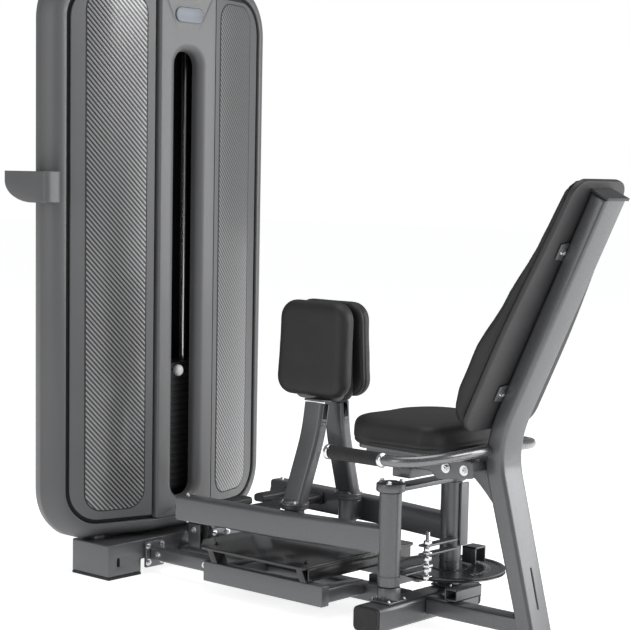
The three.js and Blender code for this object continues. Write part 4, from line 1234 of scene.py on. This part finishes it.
collars = together(sleeve(0.0195, GRIP_FRONT - 0.002, GRIP_FRONT + 0.012, 0.003),
                   sleeve(0.0195, GRIP_REAR - 0.010, GRIP_REAR + 0.004, 0.003))
grip_profile = [(0, GRIP_REAR + 0.004)]
RING_COUNT = 22
for k in range(RING_COUNT):
    ring_y = GRIP_REAR + 0.0045 + k * (GRIP_FRONT - GRIP_REAR - 0.008) / RING_COUNT
    grip_profile += [(0.0168, ring_y), (0.0178, ring_y + 0.0012), (0.0178, ring_y + 0.0052),
                     (0.0168, ring_y + 0.0064)]
grip_profile.append((0, GRIP_FRONT - 0.002))
grip = turned(grip_profile, at(GRIP_X, 0, GRIP_Z), 36, ALONG)
for side, shape in (("right", lambda mesh: mesh), ("left", mirrored)):
    fit(new_piece(f"handle_{side}", shape(handle), tube_steel), "root", "bright_steel",
        f"handle_tube_{side}")
    fit(new_piece(f"grip_{side}", shape(grip), pad_rubber), "root", "rubber", f"handle_grip_{side}")
    fit(new_piece(f"grip_collars_{side}", shape(collars), bright_zinc), "root", "bright_steel")

# ---------------------------------------------------------------------------
# Tower side bands. Two moulded halves meet at the top and bottom middle and wrap
# the whole tower, with a barrel-shaped outer face and large round corners.
# ---------------------------------------------------------------------------
TOWER_FRONT, WING_DROP, SIDE_DEPTH, COLUMN_HALF = 0.890, 0.080, 0.110, 0.112
WING_HALF, BAND_HALF, BAND_LOW, BAND_HIGH = 0.383, 0.430, 0.104, 1.722
BAND_CORNER, BAND_FACE, TOWER_MIDDLE = 0.150, 0.047, 1.025
WING_SLOPE = WING_DROP / (WING_HALF - COLUMN_HALF)

shroud = Finish("satin_moulded_shroud", (0.098, 0.099, 0.102), 0.46, coat=0.08)
shroud.paint(shroud.blend(shroud.noise(5, 3.0), (0.090, 0.091, 0.094), (0.107, 0.108, 0.111)))
shroud.rough(0.38 + shroud.noise(60, 3.0) * 0.12)
shroud.bump(shroud.noise(1500, 2.0), 0.18, 0.0003)


def half_depth(x):
    """From the tower's middle to its front face: flat at the column and swept back on the wings."""
    return TOWER_MIDDLE - TOWER_FRONT - min(max(abs(x) - COLUMN_HALF, 0),
                                            WING_HALF - COLUMN_HALF) * WING_SLOPE


def band_path():
    """The right half of the tower's outline, with its outward direction, from the bottom to the top."""
    corner_x, low, high = BAND_HALF - BAND_CORNER, BAND_LOW + BAND_CORNER, BAND_HIGH - BAND_CORNER
    path = [((0.0002 + corner_x * k / 10, BAND_LOW), (0, -1)) for k in range(10)]
    path += [((corner_x + BAND_CORNER * math.sin(a), low - BAND_CORNER * math.cos(a)),
              (math.sin(a), -math.cos(a)))
             for a in (math.radians(5 * k) for k in range(19))]
    path += [((corner_x + BAND_CORNER * math.cos(a), high + BAND_CORNER * math.sin(a)),
              (math.cos(a), math.sin(a)))
             for a in (math.radians(5 * k) for k in range(19))]
    return path + [((0.0002 + corner_x * (10 - k) / 10, BAND_HIGH), (0, 1)) for k in range(1, 11)]


def band_section(depth):
    """Inset from the outer face and depth from the middle, from the inner front edge round to the rear."""
    front = []
    for k in range(13):
        inset = BAND_FACE * (1 - math.sin(math.radians(90 * k / 12)))
        front.append((inset, -(depth - SIDE_DEPTH / 2 * ((BAND_FACE - inset) / BAND_FACE) ** 3.1)))
    lip = [(BAND_FACE, front[0][1] + 0.012), (BAND_FACE, front[0][1] + 0.0025),
           (BAND_FACE - 0.0025, front[0][1])]
    half = lip + front[1:]
    flat = [] if depth < SIDE_DEPTH / 2 + 1e-6 else [(0, 0)]
    return half + flat + [(inset, -y) for inset, y in reversed(half)]


rings = []
for (x, z), (nx, nz) in band_path():
    section = band_section(max(half_depth(x - nx * BAND_FACE), SIDE_DEPTH / 2 + 0.0004))
    rings.append([at(max(x - nx * inset, 0.0002), TOWER_MIDDLE + y, z - nz * inset) for inset,
                  y in section])
band = lofted(rings)
fit(new_piece("band_right", band, shroud, 50), "root", "shroud_plastic", "side_band_right")
fit(new_piece("band_left", mirrored(band), shroud, 50), "root", "shroud_plastic", "side_band_left")

# ---------------------------------------------------------------------------
# Tower covers. A swept panel fills each wing inside the band with a shadow gap
# all round, and the rear is closed by two wings and a louvred middle panel.
# ---------------------------------------------------------------------------
OPEN_LOW, OPEN_HIGH, OPEN_CORNER = BAND_LOW + BAND_FACE, BAND_HIGH - BAND_FACE, BAND_CORNER - BAND_FACE


def wing_outline(x0, x1, low, high, corner, inner_corner=0.004):
    """A panel with round outer corners and nearly square ones beside the column."""
    points = []
    for cx, cz, r, start in ((x1 - corner, low + corner, corner, -90),
                             (x1 - corner, high - corner, corner, 0),
                             (x0 + inner_corner, high - inner_corner, inner_corner, 90),
                             (x0 + inner_corner, low + inner_corner, inner_corner, 180)):
        steps = 12 if r > 0.02 else 3
        points += [(cx + r * math.cos(math.radians(start + 90 * k / steps)),
                    cz + r * math.sin(math.radians(start + 90 * k / steps))) for k in range(steps + 1)]
    return points


def on_wing(mesh):
    """Slants a panel drawn flat back along the wing."""
    for vert in mesh.vertices:
        vert.co.y += max(abs(vert.co.x - MIDDLE.x) - COLUMN_HALF, 0) * WING_SLOPE
    return tidy(mesh)


def to_rear(mesh):
    """The same panel on the tower's rear."""
    made = mesh.copy()
    for vert in made.vertices:
        vert.co.y = 2 * (MIDDLE.y + TOWER_MIDDLE) - vert.co.y
    return tidy(made)


# The covers stand proud of a black floor sheet, painted shade that stands for the shadow in the groove
# round them.
GROOVE = 0.012
face_y, back_y = TOWER_FRONT + 0.0045, TOWER_FRONT + 0.0175
wing_face = plate([wing_outline(COLUMN_HALF + 0.009, WING_HALF - GROOVE, OPEN_LOW + GROOVE,
                                OPEN_HIGH - GROOVE,
                                OPEN_CORNER - GROOVE)], 0.005, 0.0016, XZ, at(0, face_y, 0), 3)
wing_shade_sheet = plate([wing_outline(COLUMN_HALF - 0.0005, WING_HALF - 0.0004, OPEN_LOW + 0.0004,
                                OPEN_HIGH - 0.0004,
                                OPEN_CORNER)], 0.004, 0.0005, XZ, at(0, back_y, 0))
wing, wing_shade_floor = on_wing(wing_face), on_wing(wing_shade_sheet)
fit(new_piece("wing_cover_right", wing, shroud), "root", "shroud_plastic", "front_cover_right")
fit(new_piece("wing_cover_left", mirrored(wing), shroud), "root", "shroud_plastic", "front_cover_left")
# Painted shade: black rubber sheets behind the front and rear covers darken the grooves round them.
shade_floors = together(wing_shade_floor, mirrored(wing_shade_floor), to_rear(wing_shade_floor), to_rear(mirrored(wing_shade_floor)))
fit(new_piece("groove_shade_floors", shade_floors, pad_rubber), "root", "rubber")

middle_face = plate([rounded(-COLUMN_HALF + 0.001, OPEN_LOW + GROOVE, COLUMN_HALF - 0.001,
                             OPEN_HIGH - GROOVE, 0.004, 3)],
                    0.005, 0.0016, XZ, at(0, 2 * TOWER_MIDDLE - face_y, 0), 3)
middle_back = plate([rounded(-COLUMN_HALF - 0.004, OPEN_LOW + 0.0004, COLUMN_HALF + 0.004,
                             OPEN_HIGH - 0.0004, 0.004, 3)],
                    0.004, 0.0005, XZ, at(0, 2 * TOWER_MIDDLE - back_y - 0.002, 0))
louvres = [slats(9, at(0, 2 * TOWER_MIDDLE - face_y + 0.0025, z), (0, 0, 0.014), (0.120, 0.003, 0.006),
                 shroud)
           for z in (0.260, 1.440)]
rear = together(to_rear(wing), to_rear(mirrored(wing)), middle_face, middle_back, *louvres)
fit(new_piece("rear_panels", rear, shroud), "root", "shroud_plastic", "rear_cover")
rear_spots = [(at(x, 2 * TOWER_MIDDLE - face_y + 0.0025, z), Vector((0, 1, 0))) for x in (-0.09, 0.09)
              for z in (0.20, 0.62, 1.04, 1.62)]
bolts("rear_panel_screws", "root", rear_spots, 0.0038, gloss_black)

# ---------------------------------------------------------------------------
# Wing inserts. A glossy sheet with a printed twill of light and dark diagonal
# threads lies in a thin frame on each wing.
# ---------------------------------------------------------------------------
twill = Finish("twill_weave_sheet", (0.11, 0.11, 0.115), 0.24, metallic=0.25, coat=0.5)
THREAD_PITCH, CROSS_PITCH, THREAD_SLOPE = 0.0148, 0.0062, 1.09
tx, _, tz = twill.axes()
diagonal = tz + tx * THREAD_SLOPE
thread = (diagonal * (2 * math.pi / THREAD_PITCH)).wave().between(-0.75, 0.75)
cross = ((tz - tx * 1.05) * (2 * math.pi / CROSS_PITCH)).wave().between(-1.3, 0.4)
weave = thread * (0.82 + cross * 0.18)
twill.paint(twill.blend(weave, (0.011, 0.011, 0.012), (0.27, 0.27, 0.275)))
twill.rough(0.34 - weave * 0.12)
twill.bump(weave, 0.35, 0.0006)

INSERT_X, INSERT_Z, INSERT_CORNER = (0.148, 0.325), (0.190, 1.650), 0.052
insert_face = TOWER_FRONT + 0.002 - 0.0002
insert = on_wing(plate([rounded(INSERT_X[0], INSERT_Z[0], INSERT_X[1], INSERT_Z[1], INSERT_CORNER, 8)],
                       0.0024, 0.0009, XZ,
                       at(0, insert_face - 0.0004, 0)))
fit(new_piece("twill_insert_right", insert, twill), "root", "carbon_look", "panel_insert_right")
fit(new_piece("twill_insert_left", mirrored(insert), twill), "root", "carbon_look", "panel_insert_left")
edge_line = rounded(INSERT_X[0] - 0.0035, INSERT_Z[0] - 0.0035, INSERT_X[1] + 0.0035, INSERT_Z[1] + 0.0035,
                    0.0555, 8)
inner_line = rounded(INSERT_X[0] + 0.0002, INSERT_Z[0] + 0.0002, INSERT_X[1] - 0.0002, INSERT_Z[1] - 0.0002,
                     INSERT_CORNER, 8)
edging = on_wing(plate([edge_line, inner_line], 0.0016, 0.0004, XZ, at(0, insert_face, 0)))
fit(new_piece("insert_edging_right", edging, pad_rubber), "root", "rubber")
fit(new_piece("insert_edging_left", mirrored(edging), pad_rubber), "root", "rubber")

# ---------------------------------------------------------------------------
# Middle column. A deep moulded cover stands between the wings, with a tall slot
# scooped out round the selector pin, and a plain plate near its top.
# ---------------------------------------------------------------------------
SLOT_HALF, SLOT_LOW, SLOT_HIGH, SCOOP_HALF = 0.046, 0.205, 1.500, 0.072
COLUMN_FRONT, COLUMN_LOW, COLUMN_HIGH = TOWER_FRONT - 0.006, OPEN_LOW + 0.002, OPEN_HIGH - 0.002


def column_ring(half, low, high, corner, y):
    return [at(x, y, z) for x, z in rounded(-half, low, half, high, corner, 8)]


outer = COLUMN_HALF - 0.001
column_rings = [column_ring(outer, COLUMN_LOW, COLUMN_HIGH, 0.003, COLUMN_FRONT + 0.064),
                column_ring(outer, COLUMN_LOW, COLUMN_HIGH, 0.003, COLUMN_FRONT + 0.006)]
for k in range(1, 6):
    a = math.radians(18 * k)
    column_rings.append(column_ring(outer - 0.006 * (1 - math.cos(a)), COLUMN_LOW, COLUMN_HIGH,
                                    0.003 + 0.002 * math.sin(a),
                                    COLUMN_FRONT + 0.006 * (1 - math.sin(a))))
for k in range(9):
    a = math.radians(90 * k / 8)
    spread = (SCOOP_HALF - SLOT_HALF) * (1 - math.sin(a))
    column_rings.append(column_ring(SLOT_HALF + spread, SLOT_LOW - spread * 0.6, SLOT_HIGH + spread * 0.9,
                                    0.040 + spread * 0.8, COLUMN_FRONT + 0.024 * (1 - math.cos(a))))
column_rings += [column_ring(SLOT_HALF, SLOT_LOW, SLOT_HIGH, 0.040, COLUMN_FRONT + 0.034),
                 column_ring(outer - 0.006, COLUMN_LOW + 0.006, COLUMN_HIGH - 0.006, 0.003,
                             COLUMN_FRONT + 0.036),
                 column_ring(outer - 0.006, COLUMN_LOW + 0.006, COLUMN_HIGH - 0.006, 0.003,
                             COLUMN_FRONT + 0.064)]
column = lofted(column_rings, ends=False)
fit(new_piece("column_cover", column, shroud, 40), "root", "shroud_plastic", "middle_column")

brushed = Finish("brushed_plate", (0.09, 0.10, 0.12), 0.42, metallic=0.4)
brushed.paint(brushed.blend(brushed.noise(40, 3.0, (0.05, 1, 1)), (0.07, 0.08, 0.095), (0.12, 0.13, 0.15)))
brushed.rough(0.25 + brushed.noise(300, 2.0, (0.04, 1, 1)) * 0.2)
badge = plate([rounded(-0.054, 1.582, 0.054, 1.622, 0.0195, 8)], 0.0036, 0.0012, XZ,
              at(0, COLUMN_FRONT - 0.0022, 0), 3)
rim = plate([rounded(-0.056, 1.580, 0.056, 1.624, 0.0215, 8)], 0.0022, 0.0008, XZ,
            at(0, COLUMN_FRONT - 0.0013, 0))
fit(new_piece("plain_badge", badge, brushed), "root", "bright_steel", "front_plate")
fit(new_piece("badge_rim", rim, gloss_black), "root", "gloss_dark")

# ---------------------------------------------------------------------------
# Accessory tray. A moulded pocket hooks onto the left band at chest height, open
# at the top, with a bottom that sweeps up towards the front.
# ---------------------------------------------------------------------------
TRAY_X, TRAY_Y, TRAY_Z = (-0.4920, -0.4335), (0.928, 1.116), (1.064, 1.150)


def tray_ring(z, wall=0.0):
    """A level cut through the pocket. Its front end draws in towards the bottom."""
    share = min(max((z - TRAY_Z[0]) / 0.058, 0), 1)
    reach = TRAY_Y[0] + 0.070 + (TRAY_Y[1] - TRAY_Y[0] - 0.070) * math.sqrt(1 - (1 - share) ** 2)
    rear_end = TRAY_Y[0] + (0.004 if z < TRAY_Z[0] + 0.002 else 0)
    return [at(x, y, z) for x,
            y in rounded(TRAY_X[0] + wall, rear_end + wall, TRAY_X[1] - wall, reach - wall,
                                            0.017 - wall, 6)]


tray_levels = [TRAY_Z[0] + 0.0005,
               TRAY_Z[0] + 0.003] + [TRAY_Z[0] + 0.008 * k for k in range(1, 10)] + [TRAY_Z[1] - 0.001]
pocket = [tray_ring(z) for z in tray_levels] + [tray_ring(TRAY_Z[1], 0.001), tray_ring(TRAY_Z[1], 0.0035)]
pocket += [tray_ring(z, 0.0045) for z in (TRAY_Z[1] - 0.002, 1.126, 1.110, 1.094, 1.082, 1.074)]
hook = block(at(-0.4345, 1.000, 1.080), at(-0.4304, 1.050, 1.140), 0.001)
tray = together(lofted(pocket), hook)
fit(new_piece("tray", tray, shroud, 40), "root", "shroud_plastic", "accessory_tray")

# ---------------------------------------------------------------------------
# Weight stack. Cast plates painted black slide on two ground rods, a drilled rod
# picks up as many as the pin selects, and the cable runs to the top pulley.
# ---------------------------------------------------------------------------
cast_black = Finish("black_cast_plates", (0.018, 0.018, 0.019), 0.5, metallic=0.2)
PLATE_PITCH = 0.019
plate_z = cast_black.axes()[2]
# Painted shade: a narrow darker band at every plate pitch stands for the shade in the gaps between the
# plates.
plate_gap_shade = (plate_z * (2 * math.pi / PLATE_PITCH)).wave().between(-0.98, -0.6)
cast_black.paint(cast_black.blend(plate_gap_shade, (0.006, 0.006, 0.006), (0.026, 0.026, 0.028)))
cast_black.rough(0.42 + cast_black.noise(70, 4.0) * 0.2)
cast_black.bump(cast_black.noise(500, 3.0), 0.2, 0.0005)
for node in ("resting_plates", "top_weight"):
    coat_node(node, cast_black)

ROD_X, STACK_Y = 0.100, 1.000
rod = turned(barrel(0.012, 0.110, 1.6195, 0.002), at(ROD_X, STACK_Y, 0), 32)
fit(new_piece("rod_right", rod, bright_zinc), "root", "bright_steel", "guide_rod_right")
fit(new_piece("rod_left", mirrored(rod), bright_zinc), "root", "bright_steel", "guide_rod_left")
selector_low, selector_high = (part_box("selector_rod")[k].z for k in (0, 1))
drilled = turned(barrel(0.0128, selector_low, selector_high, 0.002), at(0, STACK_Y, 0), 32)
fit(new_piece("drilled_rod", drilled, dark_steel), "carriage", "bright_steel", "selector_rod")
coat_node("lift_cable", dark_steel)

pin_y, pin_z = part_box("selector_pin")[0].y - MIDDLE.y, centre_of("selector_pin").z
knob_paint = Finish("pale_grey_knob", (0.42, 0.42, 0.43), 0.35, coat=0.3)
knob_paint.rough(0.3 + knob_paint.noise(90, 2.0) * 0.12)
knob_profile = [(0, 0), (0.009, 0.0004), (0.0135, 0.002), (0.0165, 0.006), (0.0170, 0.0115),
                (0.0150, 0.0165),
                (0.0105, 0.0195), (0.0085, 0.022), (0.0085, 0.0235), (0, 0.0235)]
knob = turned(knob_profile, at(0, pin_y, pin_z), 40, ALONG)
shank = together(block(at(-0.0045, pin_y + 0.0225, pin_z - 0.0038),
                       at(0.0045, STACK_Y - 0.004, pin_z + 0.0038), 0.001))
fit(new_piece("pin_knob", knob, knob_paint), "selector", "gloss_dark", "selector_pin")
fit(new_piece("pin_shank", shank, bright_zinc), "selector", "bright_steel")

# ---------------------------------------------------------------------------
# Pulleys and inner frame. Grooved wheels turn in bent forks above the stack and
# low in front of the step, and a welded portal holds the guide rods.
# ---------------------------------------------------------------------------
moulded_wheel = Finish("black_moulded_wheel", (0.022, 0.022, 0.023), 0.35)
moulded_wheel.paint(moulded_wheel.blend(moulded_wheel.noise(40, 3.0), (0.017, 0.017, 0.018),
                                        (0.03, 0.03, 0.031)))
moulded_wheel.rough(0.3 + moulded_wheel.noise(100, 2.0) * 0.15)
WHEEL_R, GROOVE_R, BORE_R, WHEEL_HALF = 0.044, 0.038, 0.008, 0.009


def wheel(node):
    """A hollow-hubbed wheel with a round-bottomed groove, about the X axis."""
    side = [(BORE_R, -WHEEL_HALF), (0.015, -WHEEL_HALF), (0.017, -0.006), (0.033, -0.006),
            (0.035, -WHEEL_HALF),
            (WHEEL_R - 0.001, -WHEEL_HALF), (WHEEL_R, -WHEEL_HALF + 0.001),
            (WHEEL_R - 0.0008, -WHEEL_HALF + 0.002),
            (GROOVE_R + 0.001, -0.0032), (GROOVE_R, -0.001)]
    profile = side + [(r, -x) for r, x in reversed(side)]
    middle = centre_of(node)
    return lofted([[middle + Vector((x, r * math.cos(a), r * math.sin(a))) for r, x in profile]
                   for a in (math.radians(7.5 * k) for k in range(48))], ends=False)


fit(new_piece("upper_wheel", wheel("top_pulley"), moulded_wheel), "top_wheel", "gloss_dark", "top_pulley")
fit(new_piece("lower_wheel", wheel("low_pulley"), moulded_wheel), "low_wheel", "gloss_dark", "low_pulley")
for node in ("tower_frame", "top_pulley_fork"):
    coat_node(node, steel_paint)
axle_spots = [(centre_of(node) + Vector((s * 0.023, 0, 0)), Vector((s, 0, 0)))
              for node in ("top_pulley", "low_pulley")
              for s in (-1, 1)]
bolts("axle_bolts", "root", axle_spots, 0.008)
